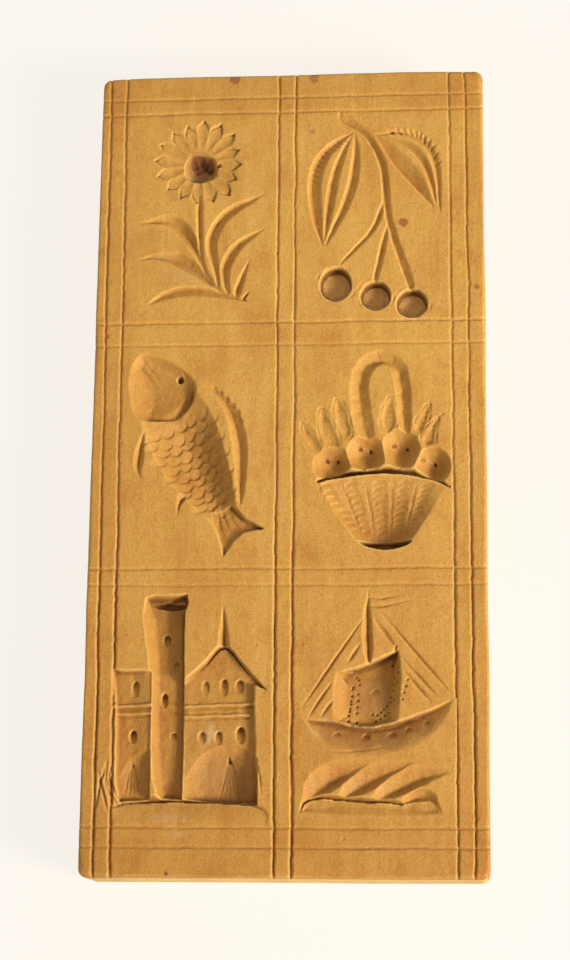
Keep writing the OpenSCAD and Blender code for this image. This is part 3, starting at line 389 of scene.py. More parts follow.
def carve_basket():
    cut([[23.2, 2.5, 1.6, 0.8, 0.1], [21.9, 7, 4.8, 1.4, 0], [20.7, 11, 5.5, 1.5, 0], [20.0, 16, 5.6, 1.5, 0],
        [19.8, 21, 5.5, 1.5, 0], [20.6, 24.8, 5.4, 1.5, 0], [22.8, 27.6, 5.0, 1.7, -0.2],
        [26, 28.7, 4.5, 1.6, -0.4], [29, 27.5, 4.6, 1.6, -0.2], [31, 24.6, 4.6, 1.7, -0.1],
        [31.8, 20.5, 4.4, 1.7, -0.1], [32.2, 15, 4.3, 1.65, -0.1], [32.5, 10, 4.0, 1.5, -0.1],
        [32.8, 5, 2.8, 1, -0.1]], rolled, wobble=0.2)
    for x, y, a in [(19.4, 12, 90), (19, 16, 90), (18.8, 20, 90), (19.3, 24, 80), (20.5, 26.5, 60),
            (31.2, 12, 90), (31, 17, 90), (24, 28.6, 20), (28, 28.4, 0), (31.4, 22, 90), (21.4, 8.5, 100)]:
        gouge(x, y, a, 1.7, 0.22, 1.2)
    for leaf in [[[3.6, 10.2], [5.2, 9.4], [7.4, 7.2], [9.6, 4.6], [10.4, 2.2], [8.6, -0.4], [6.4, 1.6],
            [4.2, 5.6]], [[8.8, 14.4], [11.6, 12], [13.2, 8.4], [14.6, 5.2], [14.6, 2.4], [11.4, 2.8], [9.2, 5],
            [8.2, 9.6]], [[12.6, 16.2], [14.4, 16.8], [16.2, 14.2], [17.6, 9.6], [17.8, 6.2], [15.2, 5.8],
            [12.9, 10.6]], [[28.2, 17.6], [29.5, 16.8], [30.3, 12.4], [30.1, 8.6], [27.6, 6.2], [25.6, 8.8],
            [25.7, 13.4], [27, 16]], [[39.1, 15.6], [39.4, 12.6], [38.8, 9.6], [37.2, 6], [34.6, 7.2],
            [35, 10.2], [36.6, 12.8]], [[41.8, 11.6], [41.2, 8], [40.8, 3.8], [37.8, 2.8], [36.6, 5.2],
            [38.4, 8.8]]]:
        edge = curve(leaf, closed=True)
        well([[x, y, 1.4] for x, y in leaf], lambda x, y: 0.75 + 0.25 * noise_at(x, y), smooth=True,
            wobble=0.12, straight=True)
        loop = (np.vstack([edge, edge[:1]]) / (SX, SY))[::2]
        cut([[x, y, 0.6, 0.35 + 0.2 * math.sin(1.7 * i)] for i, (x, y) in enumerate(loop)], vee, wobble=0.1,
            add=True)
        tip, middle = edge[0] / (SX, SY), edge.mean(axis=0) / (SX, SY)
        slant = 0.9 * (middle[0] - tip[0]) + 2.2
        for f in (0.45, 0.75, 1.05, 1.35):          # veins
            x, y = tip + (middle - tip) * f
            cut([[x - 1.1, y + 0.2 * slant, 0.3, 0.05], [x, y - 0.4, 0.6, 0.3],
                [x + 1.0, y - 0.2 * slant, 0.3, 0.05]], vee, add=True)
    for x, y, rx, ry in [(12.4, -1.8, 5.3, 5.6), (21.8, 1.0, 5.6, 5.6), (31.4, 2.4, 5.5, 6.0),
            (40.2, -2.4, 5.0, 5.4)]:
        w = around(x, y, 8)
        q = np.hypot((X[w] - x * SX) / rx, (Y[w] - y * SY) / ry) + 0.03 * noise(2.6, 2.6, 23)[w]
        put(w, 4.1 * unit(1 - unit(q) ** 1.7))
    cut([[8.6, -6.4, 1.2, 1.6], [12, -5.6, 2.2, 3.2], [16, -4.8, 2.6, 3.6], [20, -4.3, 2.6, 3.9],
        [25.5, -3.9, 2.6, 4.1], [30, -4.0, 2.6, 4.0], [35, -4.7, 2.3, 3.6], [39.5, -5.9, 1.7, 2.8],
        [44.6, -8.4, 0.8, 0.8]], lambda u, k: unit(2.2 * vee(u, k)), -0.1, wobble=0.2)
    rim = [[4, -6.6], [8.4, -7.0], [11, -6.3], [15, -5.65], [20, -4.9], [25.5, -4.55], [31, -4.65], [36, -5.5],
        [41, -6.9], [45.6, -9.2], [50, -11]]
    edge = curve(rim, n=4)
    w = window(7 * SX, 44.4 * SX, -14 * SY, 6 * SY)
    line = np.interp(X[w], edge[:, 0], edge[:, 1]) + 0.08 * noise(2.2, 2.2, 5)[w]
    D[w] *= unit((Y[w] - line) / 0.22)    # the rim stays standing
    # the woven body
    level = np.array([[-4, 8.6, 45.2, 0.5], [-7, 9.4, 44.2, 1.3], [-11, 10.9, 42, 2.7], [-15, 13, 39.6, 3.9],
        [-19, 16, 37, 4.6], [-22.4, 18.6, 34.8, 4.9], [-24, 20.4, 33.4, 4.9]])
    w = window(4 * SX, 48 * SX, -27 * SY, -3 * SY)
    x, y = X[w] / SX, Y[w] / SY
    left, right, deep = [np.interp(-y, -level[:, 0], level[:, k]) for k in (1, 2, 3)]
    u = (x - (left + right) / 2) / ((right - left) / 2) + 0.015 * noise(2.2, 2.2, 5)[w]
    under = (np.interp(X[w], edge[:, 0], edge[:, 1]) - 0.15) - Y[w]
    foot = -23.3 - 2.5 * unit(1 - ((x - 27) / 7.4) ** 2) ** 0.8
    f = deep * np.where(u < 0, unit(1 - np.abs(u) ** 2.3) ** 0.8, unit(1 - u ** 1.5))
    f *= unit(under / 0.6) ** 0.5
    foot += 0.1 * noise(2.2, 2.2, 5)[w]
    f *= unit((y - foot) / 0.3)
    f = np.where(y < -23.3, 6.2 * unit((y - foot) / 0.3), f)      # the foot, a deep stop cut
    put(w, f)
    # weave marks in columns, between shallow ribs
    for (x0, y0), (x1, y1), n, size in [((10.6, -8.6), (19, -20.6), 8, 1), ((17.4, -8), (21.6, -20.8), 9, 1),
            ((25.2, -7.6), (26, -20.8), 9, 0.95), ((32, -7.8), (30.4, -20.6), 9, 0.9),
            ((38.6, -8.4), (34.4, -19), 8, 0.8)]:
        for i in range(n):
            t = i / (n - 1)
            gouge(x0 + (x1 - x0) * t + RND.normal(0, 0.15), y0 + (y1 - y0) * t, 100 + RND.normal(0, 8),
                1.5 - 0.35 * t, 0.5 * size, 1.35)
    for x0, x1, s in [(15, 20.2, 0.9), (21.6, 23.6, 0.5), (28.6, 28.2, 0.4), (35.4, 32.4, 0.45)]:
        cut([[x0, -8, 0.8, 0.3 * s], [(x0 + x1) / 2 + 0.2, -14, 1.1, 0.6 * s], [x1, -20.6, 0.7, 0.4 * s]], vee,
            add=True, wobble=0.15)
    cut([[8.6, -7.2, 0.4, 0.5], [8.9, -8.6, 0.5, 0.4], [9.3, -9.8, 0.3, 0.2]], vee, add=True)
    # eyes of the fruits
    for x, y, a in [(10.8, -0.6, 120), (13.8, -0.9, 80), (20, 2.6, 120), (22.8, 2.0, 90), (29.4, 3.6, 140),
            (32.8, 2.6, 60), (37.4, -0.8, 140), (40.6, -1.8, 70)]:
        gouge(x, y, a, 0.85, 1.3, 0.6)
        cut([[x - 0.5, y + 0.9, 0.3, 0.1], [x + 0.2, y + 0.6, 0.6, 0.7], [x + 0.6, y - 0.3, 0.3, 0.2]], vee,
            add=True)
    pit(21, -2.8, 0.5, 0.5)


def carve_castle():
    def tower(x, y):
        return 3.4 + 0.012 * np.clip(y + 93, 0, 60) + 0.12 * noise_at(x, y)
    well([[-38.4, -38.9, 0.9], [-36, -38.1, 1.6], [-32, -38.3, 1.8], [-27.0, -37.9, 0.8], [-26.6, -40.4, 0.4],
        [-27.5, -43, 0.4], [-27.6, -50, 0.4], [-27.4, -60, 0.4], [-27.2, -78, 0.4], [-27.3, -94, 0.5],
        [-33.6, -94, 2], [-35.2, -89, 2.2], [-36.4, -80, 2.4], [-36.7, -70, 2.4], [-36.8, -60, 2.5],
        [-37.4, -55.4, 2.7], [-38.3, -50, 3.0], [-39.1, -44, 3.2]], tower, straight=True)
    cut([[-37.2, -40.2, 0.8, 3.4], [-35.6, -40.7, 2.4, 5.4], [-31.5, -41.1, 3.2, 5.9], [-28.6, -40.8, 2.4, 5.6],
        [-27.2, -40.2, 0.8, 3.6]], lambda u, k: unit(1.7 * vee(u, k)), 0.1, wobble=0.2)
    well([[-46.9, -58.6, 0.5], [-44.9, -58.9, 0.9], [-36.2, -58.9, 0.5], [-36, -68.4, 0.5], [-36.1, -94, 1],
        [-44.4, -94.4, 0.9], [-45.6, -88, 0.9], [-45.7, -72, 0.9], [-45.9, -69.5, 0.9], [-46.3, -66, 0.9]],
        lambda x, y: 2.2 - 1.1 * unit((x + 41.5) / 5) + 0.1 * noise_at(x, y))
    well([[-28.4, -62.6, 1.0], [-22.4, -57, 0.9], [-16.8, -50.9, 1.1], [-11.0, -57.4, 0.9], [-4.6, -64.6, 0.7],
        [-8.1, -63.2, 0.9], [-8.0, -70, 1.1], [-7.6, -78, 1.2], [-7.2, -94.6, 1.2], [-27.6, -94, 1]], lambda x,
        y: 1.9 + 0.5 * unit((y + 66) / 12) + 0.1 * noise_at(x, y))
    cut([[-27.8, -62.4, 0.8, 1.2], [-22.2, -58.2, 1.4, 2.8], [-16.8, -52.9, 1.8, 3.7], [-11.2, -58.8, 1.4, 2.8],
        [-6.6, -63.6, 0.6, 1.2]], vee, 0.4)
    cut([[-17, -41.4, 0.3, 0.3], [-16.9, -45.5, 1.7, 1.1], [-16.8, -49.5, 2.8, 1.9], [-16.7, -52, 3.2, 2.5]],
        vee)
    # the two string courses are ridges left standing between cuts, with a cut below each
    for x0, x1, y, tilt, base in [(-46.4, -36.4, -68.4, 0.2, -0.9), (-45.4, -36.6, -70.6, 0.1, -0.7),
            (-27.4, -8.4, -68.3, 0.4, -0.8), (-27.2, -9.6, -71.2, 0.3, -0.8)]:
        cut([[x0, y - tilt, 1.1, 0.8 * base], [x1, y + tilt, 1.1, 0.8 * base]], scoop, add=True, wobble=0.14)
        cut([[x0, y - tilt - 0.8, 0.8, 0.3], [x1, y + tilt - 0.8, 0.8, 0.4]], vee, add=True, wobble=0.14)
    # hills: bowls that deepen from their crests to the ground
    w = window(-47 * SX, -6 * SX, -95 * SY, -78 * SY)
    x, y = X[w] / SX, Y[w] / SY
    for cx, cy, rx, ry, deep, x0, x1 in [(-34.6, -94, 11.2, 14.2, 1.7, -45.6, -36.2),
            (-15, -94.5, 12.6, 15.4, 3.4, -27.6, -7.2), (-31.4, -94.5, 3.6, 6.4, 1.2, -34.4, -27.6)]:
        q = np.hypot((x - cx) / rx, (y - cy) / ry) + 0.02 * noise(2.6, 2.6, 23)[w]
        put(w, deep * unit(1 - unit(q) ** 2) ** 0.75 * (x > x0) * (x < x1), True)
    # the ground line: a stop cut with the ground falling to it
    cut([[-46.8, -96.2, 0.5, 0.5], [-43.2, -94.7, 2, 1.6], [-38, -94.2, 2.6, 2.6], [-30, -93.9, 2.8, 3.2],
        [-20, -94, 2.8, 3.4], [-12, -94.4, 2.4, 3.0], [-8.2, -95, 1.6, 1.8], [-4.6, -96.9, 0.5, 0.4]], vee,
        -0.3, wobble=0.2)
    line = curve([[-50, -98.5], [-46.8, -96.6], [-43.2, -95.2], [-38, -94.9], [-30, -94.5], [-20, -94.6],
        [-12, -95], [-8.2, -95.6], [-4.6, -97.2], [-2, -99]], n=4)
    w = window(-48 * SX, -3.6 * SX, -101 * SY, -90 * SY)
    edge = np.interp(X[w], line[:, 0], line[:, 1]) + 0.1 * noise(2.2, 2.2, 5)[w]
    below = edge - Y[w]
    ramp = 1.3 * unit(1 - below / 4.6) * unit(1 - np.abs(X[w] / SX + 25) / 21) ** 0.35
    D[w] = np.where(below > 0, np.maximum(ramp, np.minimum(D[w], 0.9)), D[w])
    CUT[w] = np.maximum(CUT[w], (ramp > 0.15) & (below > 0))
    for x, y, wd, ht, dp in [(-32.7, -50.4, 1.9, 3.4, 0.9), (-29.8, -57.6, 1.7, 3, 0.4),
            (-33, -66.8, 1.7, 4.2, 0.9), (-30.2, -76.6, 1.9, 2.2, 0.5), (-40.8, -63.9, 1.9, 4.6, 0.6),
            (-41.1, -76.9, 1.9, 3.8, 0.9), (-21.7, -63.6, 1.9, 3.8, 0.5), (-16.6, -63.4, 1.9, 4.8, 0.7),
            (-12.4, -63.3, 2.2, 4, 0.7), (-22.4, -77.1, 1.9, 3.4, 0.6), (-17.9, -77.2, 2, 4, 0.7),
            (-11.9, -76.4, 2.2, 4.8, 1.0)]:
        window_cut(x, y, wd, ht, dp)
    # trees, each a few strokes fanning down from its tip
    for x, y, spread, ht, n in [(-15, -82.4, 5.2, 11, 5), (-41.2, -84.4, 4.6, 9, 4), (-7, -85.2, 2, 7.4, 2)]:
        for i in range(n):
            f = (i / (n - 1) - 0.5) * 2
            cut([[x + 0.1 * f, y, 0.4, 0.4], [x + spread * 0.27 * f, y - ht * 0.45, 0.8, 0.55],
                [x + spread * 0.5 * f, y - ht, 0.35, 0.15]], vee, add=True, wobble=0.25)
    pit(-15, -83.4, 0.6, 1)
    for (x0, y0), (xm, ym), (x1, y1) in [((-47.6, -83.4), (-47.9, -89), (-45.6, -95.4)),
            ((-48, -84), (-49.6, -90), (-50.4, -96)), ((-46.9, -84.6), (-46.4, -90), (-43.4, -94.8)),
            ((-47.2, -85), (-47, -90.5), (-44.4, -95.6)), ((-50.2, -86), (-48.8, -91), (-47.2, -97))]:
        cut([[x0, y0, 0.5, 0.3], [xm, ym, 1.1, 1.0], [x1, y1, 0.6, 0.5]], vee, add=True, wobble=0.2)


def window_cut(x, y, width, height, depth):
    """A window: an oval sunk into the wall, deepest at its top, with a low sill."""
    h = height / 2
    well([[x - width / 2, y - h * 0.6, 0.35], [x - width / 2, y + h * 0.55, 0.3], [x, y + h, 0.3],
        [x + width / 2, y + h * 0.55, 0.3], [x + width / 2, y - h * 0.6, 0.35], [x, y - h, 0.5]], lambda px,
        py: 1.5 * depth * (0.75 + 0.6 * np.clip((py - y) / h, -0.6, 1)), smooth=True, add=True)


def carve_ship():
    cut([[22.5, -37.4, 0.4, 0.3], [22.4, -39.5, 0.9, 0.6], [22.2, -42, 1.6, 1.1], [22.2, -45, 2.3, 1.5],
        [22.3, -50, 2.9, 1.8], [22.5, -54, 2.5, 1.8], [22.7, -56.8, 1.2, 1.2]], vee, 0.05)
    for points in [[[22.6, -39, 0.8, 0.5], [25.6, -39.4, 1.1, 0.6], [28.6, -38.9, 0.8, 0.4],
            [32.4, -38.3, 0.3, 0.1]], [[22.4, -41.4, 0.8, 0.5], [26, -41.5, 1.2, 0.65], [29.4, -40.8, 0.8, 0.4],
            [35, -39.6, 0.3, 0.1]]]:
        cut(points, vee, -0.4)
    for x0, y0, x1, y1, width in [(21, -45, 4.6, -69.2, 0.9), (20.2, -52, 17, -57, 1.2),
            (12.6, -62.4, 6.5, -71.6, 0.9), (13.3, -66.8, 9.8, -71.6, 1.1), (26, -43.4, 45.2, -66, 0.95),
            (24.2, -45.2, 29.6, -52.6, 1.7), (31.2, -55.4, 41.4, -66.6, 1.0), (32.2, -59.4, 39.4, -67.8, 1.1)]:
        cut([[x0, y0, width * 0.5, 0.3], [(2 * x0 + x1) / 3, (2 * y0 + y1) / 3, width, 0.75],
            [(x0 + 2 * x1) / 3, (y0 + 2 * y1) / 3, width, 0.75], [x1, y1, width * 0.4, 0.2]], vee, wobble=0.05)
    def sail(x, y):                                # it bellies, deepest along the yard and in the middle
        return 1.7 + 2.2 * unit((y + 74) / 14) + 0.7 * unit(1 - ((x - 23) / 7) ** 2) + 0.1 * noise_at(x, y)
    well([[14, -59.4, 3.6], [16.5, -58.9, 1.6], [19, -58.5, 0.6], [23, -56.9, 0.5], [27, -55.1, 0.5],
        [30.6, -53.5, 0.6], [31.2, -56, 1.8], [31.4, -60, 2.6], [31.2, -66, 3.4], [30.8, -70, 3.8],
        [30.4, -73.6, 3], [24, -74.8, 0.8], [18, -74.6, 0.8], [13.4, -73.6, 3.4], [12.8, -68, 3.8],
        [13.0, -63, 3.8]], sail, straight=True)
    cut([[16.8, -59.3, 0.6, 2], [20.5, -58.8, 1.3, 4.2], [25, -57.2, 1.5, 4.8], [28.6, -55.6, 1.2, 4.0],
        [30.4, -54.5, 0.5, 2.4]], vee, 0.2)
    cut([[29.8, -53.6, 0.8, 1.2], [30.0, -52.4, 0.7, 0.8]], vee)
    # hull: its floor rises toward the keel
    deck = curve([[5.4, -72.0], [9, -72.5], [12, -72.7], [18, -73.9], [22.5, -74.3], [27, -73.7], [31, -72.7],
        [36, -70.9], [40.5, -69.1], [45.6, -66.4]], n=5)
    keel = curve([[5.4, -72.2], [7.4, -75.6], [10, -78.6], [14, -80.9], [20, -81.9], [27, -81.6], [34, -79.9],
        [39.4, -76.6], [43, -72.2], [45.6, -66.6]], n=5)
    w = window(5 * SX, 46 * SX, -84 * SY, -64 * SY)
    x = X[w]
    t = np.interp(x, deck[:, 0], deck[:, 1]) + 0.08 * noise(2.2, 2.2, 5)[w]
    b = np.interp(x, keel[:, 0], keel[:, 1])
    s = unit((t - Y[w]) / np.maximum(t - b, 0.4))
    ends = unit(1 - np.abs((x / SX - 24.5) / 20.5) ** 3) ** 0.7 * (1 - 0.35 * unit((x / SX - 30) / 14))
    f = 4.3 * (1 - s) ** 1.25 * ends * unit((t - Y[w]) / 0.5)
    above = (Y[w] > t - 0.3) & (Y[w] < t + 1.1) & (x > 13 * SX) & (x < 31 * SX)
    D[w] = np.where(above, D[w] * (0.35 + 0.65 * unit((Y[w] - t) / 1.1)), D[w])     # the deck line stands up
    D[w] = np.where(Y[w] <= t, np.where(Y[w] > b, f, 0), D[w])
    CUT[w] = np.where((Y[w] <= t) & (Y[w] > b), 1, CUT[w])
    for x, y, r in [(14, -76.6, 1.15), (21.8, -77.2, 1.25), (28.7, -76.8, 1.4), (33.2, -75.4, 1.1),
            (38.2, -73.4, 0.9)]:
        gouge(x, y, 90, r, 0.8, 1)
    cut([[11, -80.2, 0.3, 0.1], [14.4, -81, 0.8, 0.3], [20, -80.6, 0.8, 0.3], [28, -79.4, 0.5, 0.15]], vee,
        add=True)
    gouge(24.2, -65.0, 90, 1.3, 0.8, 0.9)
    for x, y in [(19.1, -60.4), (18.2, -63.2), (18, -63.8), (17.9, -65.6), (17.6, -67), (17.6, -67.8),
            (17.4, -69), (17.3, -69.8), (17.1, -71), (17, -72.6), (19.9, -62.4), (19.7, -61), (19.5, -65),
            (19.5, -66.8), (19.3, -68.6), (19.2, -70.2), (19.2, -72.9), (29, -57.2), (29.5, -60.7),
            (29.3, -62.6), (29.2, -64.2), (28.6, -66.2), (28.4, -67.4), (27.4, -68.4), (26.5, -69.2),
            (25.8, -70), (24.8, -70.8), (30.4, -58), (30.5, -59.4), (30.2, -62), (29.4, -66.8), (28, -70.3),
            (26.8, -71), (25.6, -71.8), (24.4, -72.6), (23.4, -70.6), (33, -61.5), (32.5, -63.3), (32, -65),
            (31.6, -66.8)]:
        pit(x, y, 0.38 + RND.uniform(-0.06, 0.08), 0.8, power=2.5)
    # the sea: hollows between rolling crests
    for points, k in [([[5.6, -94.4, 1.6, 1.0], [8.6, -90.4, 6.4, 2.1], [13, -87.2, 7.4, 2.5],
            [18, -85.2, 5.2, 1.4], [23, -83.6, 1.4, 0.1]], -0.4), ([[15.4, -93.2, 1.8, 1.2],
            [19, -89.8, 6.4, 2.2], [23.8, -87.2, 6.8, 2.3], [29, -85.2, 4.4, 1.2], [34, -83.6, 1.2, 0.1]],
            -0.4), ([[24, -93.8, 2, 1.2], [28.2, -90.8, 6, 2.2], [33.4, -88.2, 6.6, 2.3], [38.4, -86.6, 5, 1.4],
            [44, -86, 1.4, 0.1]], -0.4), ([[31.6, -94.6, 1.2, 1], [34.6, -92.9, 3.8, 2.0],
            [38.2, -92.6, 4, 1.9], [40.8, -95.2, 1.6, 0.8], [41.9, -97.2, 0.6, 0.3]], -0.3)]:
        cut(points, rolled, k, wobble=0.15)
    cut([[4.4, -97, 0.5, 0.4], [5.4, -94.6, 1.2, 1.6], [7.4, -93.3, 1.6, 2.0], [10.4, -92.8, 1.8, 2.2],
        [15, -93.2, 1.8, 2.4], [22, -93.8, 1.8, 2.4], [27, -93.7, 1.8, 2.3], [31.4, -94.6, 1.4, 1.8]], vee,
        -0.55, wobble=0.15)
    well([[4.8, -96.9, 0.8], [5.6, -95, 0.8], [8, -93.6, 0.4], [15, -93.7, 0.4], [22, -94.3, 0.4],
        [31.4, -95.0, 0.4], [35, -94.3, 0.4], [38.6, -94, 0.4], [40.6, -95, 0.6], [41.8, -97.4, 0.8],
        [30, -97.8, 2.6], [15, -97.6, 2.6]], lambda x, y: 0.8 + 0.2 * noise_at(x, y))


def noise_at(x, y):
    """The fine noise at places on the plank, given as two maps cut from the grid."""
    i = np.clip(np.rint((x * SX + W / 2) / (XS[1] - XS[0])).astype(int), 0, NX - 1)
    j = np.clip(np.rint((y * SY + L / 2) / (YS[1] - YS[0])).astype(int), 0, NY - 1)
    return noise(2.4, 3.5, 31)[j, i]


# ------------------------------------------------------------------ the plank
CORNER = 2.5                       # rounding of the outline at the corners, mm
BOTTOM_EDGE = 0.5                  # rounding of the lower edge
SIDE_RINGS = 16
SWAY = 6                           # the outline wavers within this distance of the edge
INSIDE = 0.16                      # and stays this far within the CAD box on average
FLOOR_LEFT = 4.0                   # least height of any cut over the underside
COARSE = 4                         # grid of the underside, in steps of the upper face's
UNDER_IN = 1.6                     # how far that grid stays inside the outline
# Nicks in the face: x, y, radius, depth
NICKS = [(-51.6, 36, 0.9, 0.5), (33.5, 16.5, 0.5, 0.3), (-25.4, 28.6, 0.4, 0.3), (4.5, -52, 0.5, 0.3),
    (-46.5, 5, 0.4, 0.3), (42.6, 12.2, 0.5, 0.35), (16, -104, 0.5, 0.3), (47, 71, 0.4, 0.3),
    (-8, -52, 0.4, 0.3), (-3.5, 60, 0.5, 0.35), (35, 54, 0.4, 0.25)]


def rough(rows):
    """Unevenness in mm, from rows of its height, its size across and along, and the seed of its noise."""
    return sum(height * noise(across, along, seed) for height, across, along, seed in rows)


def edge_round():
    """Radius of the worn upper edge, with chips and rubbed corners."""
    r = 0.75 + rough([(0.28, 14, 14, 41), (0.16, 3.2, 3.2, 43)])
    for x, y, size, more in [(W / 2, L / 2, 6, 1.2), (-W / 2, -L / 2, 5, 1.2), (-W / 2, L / 2, 5, 0.8),
            (W / 2, -L / 2, 5, 0.5), (-W / 2, 34, 4, 0.7), (-W / 2, -28, 6, 0.5), (W / 2, 39.6, 3, 0.4),
            (W / 2, -101, 3, 0.4)]:
        r += more * np.exp(-((X - x) ** 2 + (Y - y) ** 2) / (2 * size * size))
    return np.clip(r, 0.3, CORNER - 0.3)


def push_out(inset, r):
    """Turns a flat inset from the edge into a place on the worn edge: how far in, and how far down."""
    turn = unit(1 - inset / r) * math.pi / 2
    return np.where(inset < r, r * (1 - np.sin(turn)), inset), r * (1 - np.cos(turn))


def outline_map(x, y, inset, new_inset):
    """Moves grid points that lie that far inside the edge, and bends the square corners round."""
    hx, hy = W / 2 - CORNER, L / 2 - CORNER
    u, v = np.clip(np.abs(x) - hx, 0, None), np.clip(np.abs(y) - hy, 0, None)
    m = np.maximum(u, v)
    new = np.clip(CORNER - new_inset, 0, None)
    k = np.where(m > 0, new / np.maximum(m, 1e-6), 1) * np.where(m > 0, m / np.maximum(np.hypot(u, v), 1e-6), 1)
    k = np.where(inset < CORNER, k, 1)
    ax, ay = np.minimum(np.abs(x), hx) + u * k, np.minimum(np.abs(y), hy) + v * k
    return np.sign(x) * ax, np.sign(y) * ay


def worn_face():
    """Depth of the cuts with all unevenness, how far the worn edge lies below the face, and the points."""
    tool = CUT * rough([(0.07, 1.7, 2.1, 54), (0.05, 0.9, 1.1, 55)]) * unit(D / 1.2)
    depth = blur(D, 0.11) + tool + 0.11 - rough([(0.06, 19, 44, 51), (0.035, 3.1, 12, 52),
        (0.02, 1.0, 5.5, 53)])
    for x, y, r, d in NICKS:
        w = window(x - r - 1, x + r + 1, y - r - 1, y + r + 1)
        depth[w] += d * unit(1 - np.hypot(X[w] - x, Y[w] - y) / r)
    in_x, in_y = W / 2 - np.abs(X), L / 2 - np.abs(Y)
    inset = np.minimum(in_x, in_y)
    new_inset, drop = push_out(inset, edge_round())
    x, y = outline_map(X, Y, inset, new_inset)
    fade = unit(1 - inset / SWAY)
    x -= np.sign(X) * np.where(in_x < SWAY, fade * (INSIDE + 0.16 * noise(60, 26, 61)), 0)
    y -= np.sign(Y) * np.where(in_y < SWAY, fade * (INSIDE + 0.16 * noise(26, 60, 62)), 0)
    z = np.maximum(T - np.maximum(depth, 0) - drop, FLOOR_LEFT)
    return depth, drop, np.stack([x, y, z], axis=-1).reshape(-1, 3)


def sides(edge, flat_edge, ends):
    """Rings of points down the sides, sawn a little uneven, and round the lower edge."""
    way = np.column_stack([np.sign(flat) * unit((np.abs(flat) - (size / 2 - CORNER)) / CORNER) for flat,
        size in zip(flat_edge.T, (W, L))])
    way /= np.linalg.norm(way, axis=1)[:, None]
    s = np.arange(len(edge)) / len(edge) * 2 * math.pi
    rings = []
    for k in range(1, SIDE_RINGS + 1):
        t = k / SIDE_RINGS
        z = edge[:, 2] * (1 - t) + BOTTOM_EDGE * t
        swell = 0.05 * np.sin(s * 47 + 2 + 9 * t) + 0.09 * np.sin(s * 9 + 4 * t)
        swell += 0.10 * np.sin(s * 31 + 5 * t) * ends
        in_by = math.sin(t * math.pi) ** 0.5 * (0.10 - 0.8 * swell)
        rings.append(np.column_stack([edge[:, :2] - way * in_by[:, None], z]))
    for turn in (35, 65, 90):
        a = math.radians(turn)
        rings.append(np.column_stack([edge[:, :2] - way * BOTTOM_EDGE * (1 - math.cos(a)),
            np.full(len(edge), BOTTOM_EDGE * (1 - math.sin(a)))]))
    return rings


def underside(cols, rows):
    """Points of the underside, a little uneven, as a grid with its corners pulled in."""
    x, y = np.meshgrid(np.linspace(-1, 1, cols + 1), np.linspace(-1, 1, rows + 1))
    hx, hy = W / 2 - UNDER_IN, L / 2 - UNDER_IN
    x, y = x * hx, y * hy
    inset = np.minimum(hx - np.abs(x), hy - np.abs(y))
    pull = unit(np.hypot(unit(np.abs(x) - (hx - 1)), unit(np.abs(y) - (hy - 1))) - 1) * 0.7
    x, y = x - np.sign(x) * pull, y - np.sign(y) * pull
    z = 0.05 + 0.03 * np.sin(x * 0.9 + 0.6 * np.sin(y * 0.05)) + 0.02 * np.sin(x * 2.3 + 1)
    return np.stack([x, y, z * unit(inset / 2)], axis=-1).reshape(-1, 3)


def material_maps(depth, shape):
    """Numbers for the material: how deep, how hollow, how proud, how much end grain shows, and so on."""
    slope_y, slope_x = np.gradient(shape, YS[1] - YS[0], XS[1] - XS[0])
    fine, wide = shape - blur(shape, 0.6), (shape - blur(shape, 2.4)) * (1 - FLOOR)
    holes = unit(3 * blur(FLOOR, 0.8))
    # drilled floors keep half the darkening in hollows, part of the painted light on them
    hollow = (np.clip(fine, 0, None) + 0.12 * np.clip(wide, 0, None)) * (1 - 0.5 * FLOOR)
    # walls of drilled holes: dark all round, end grain with painted shade of the deep hole
    hollow += 0.8 * holes * (1 - FLOOR) * unit((depth - 0.9) / 0.8)
    # drilled floors are kept out of the darkening with depth, part of the painted light on them
    return {"deep": depth * (1 - 0.85 * FLOOR), "hollow": hollow,
        "proud": np.clip(blur(shape, 0.33) - shape, 0, None) * (1 - 0.8 * holes),
        "end_grain": blur(np.abs(slope_y) / np.sqrt(1 + slope_x ** 2 + slope_y ** 2), 0.25), "chalk": CHALK,
        "floor": FLOOR, "butt": 0 * FLOOR}


def squares(index):
    return np.stack([index[:-1, :-1], index[:-1, 1:], index[1:, 1:], index[1:, :-1]], axis=-1).reshape(-1, 4)


def border(index):
    return np.concatenate([index[0, :-1], index[:-1, -1], index[-1, :0:-1], index[:0:-1, 0]])


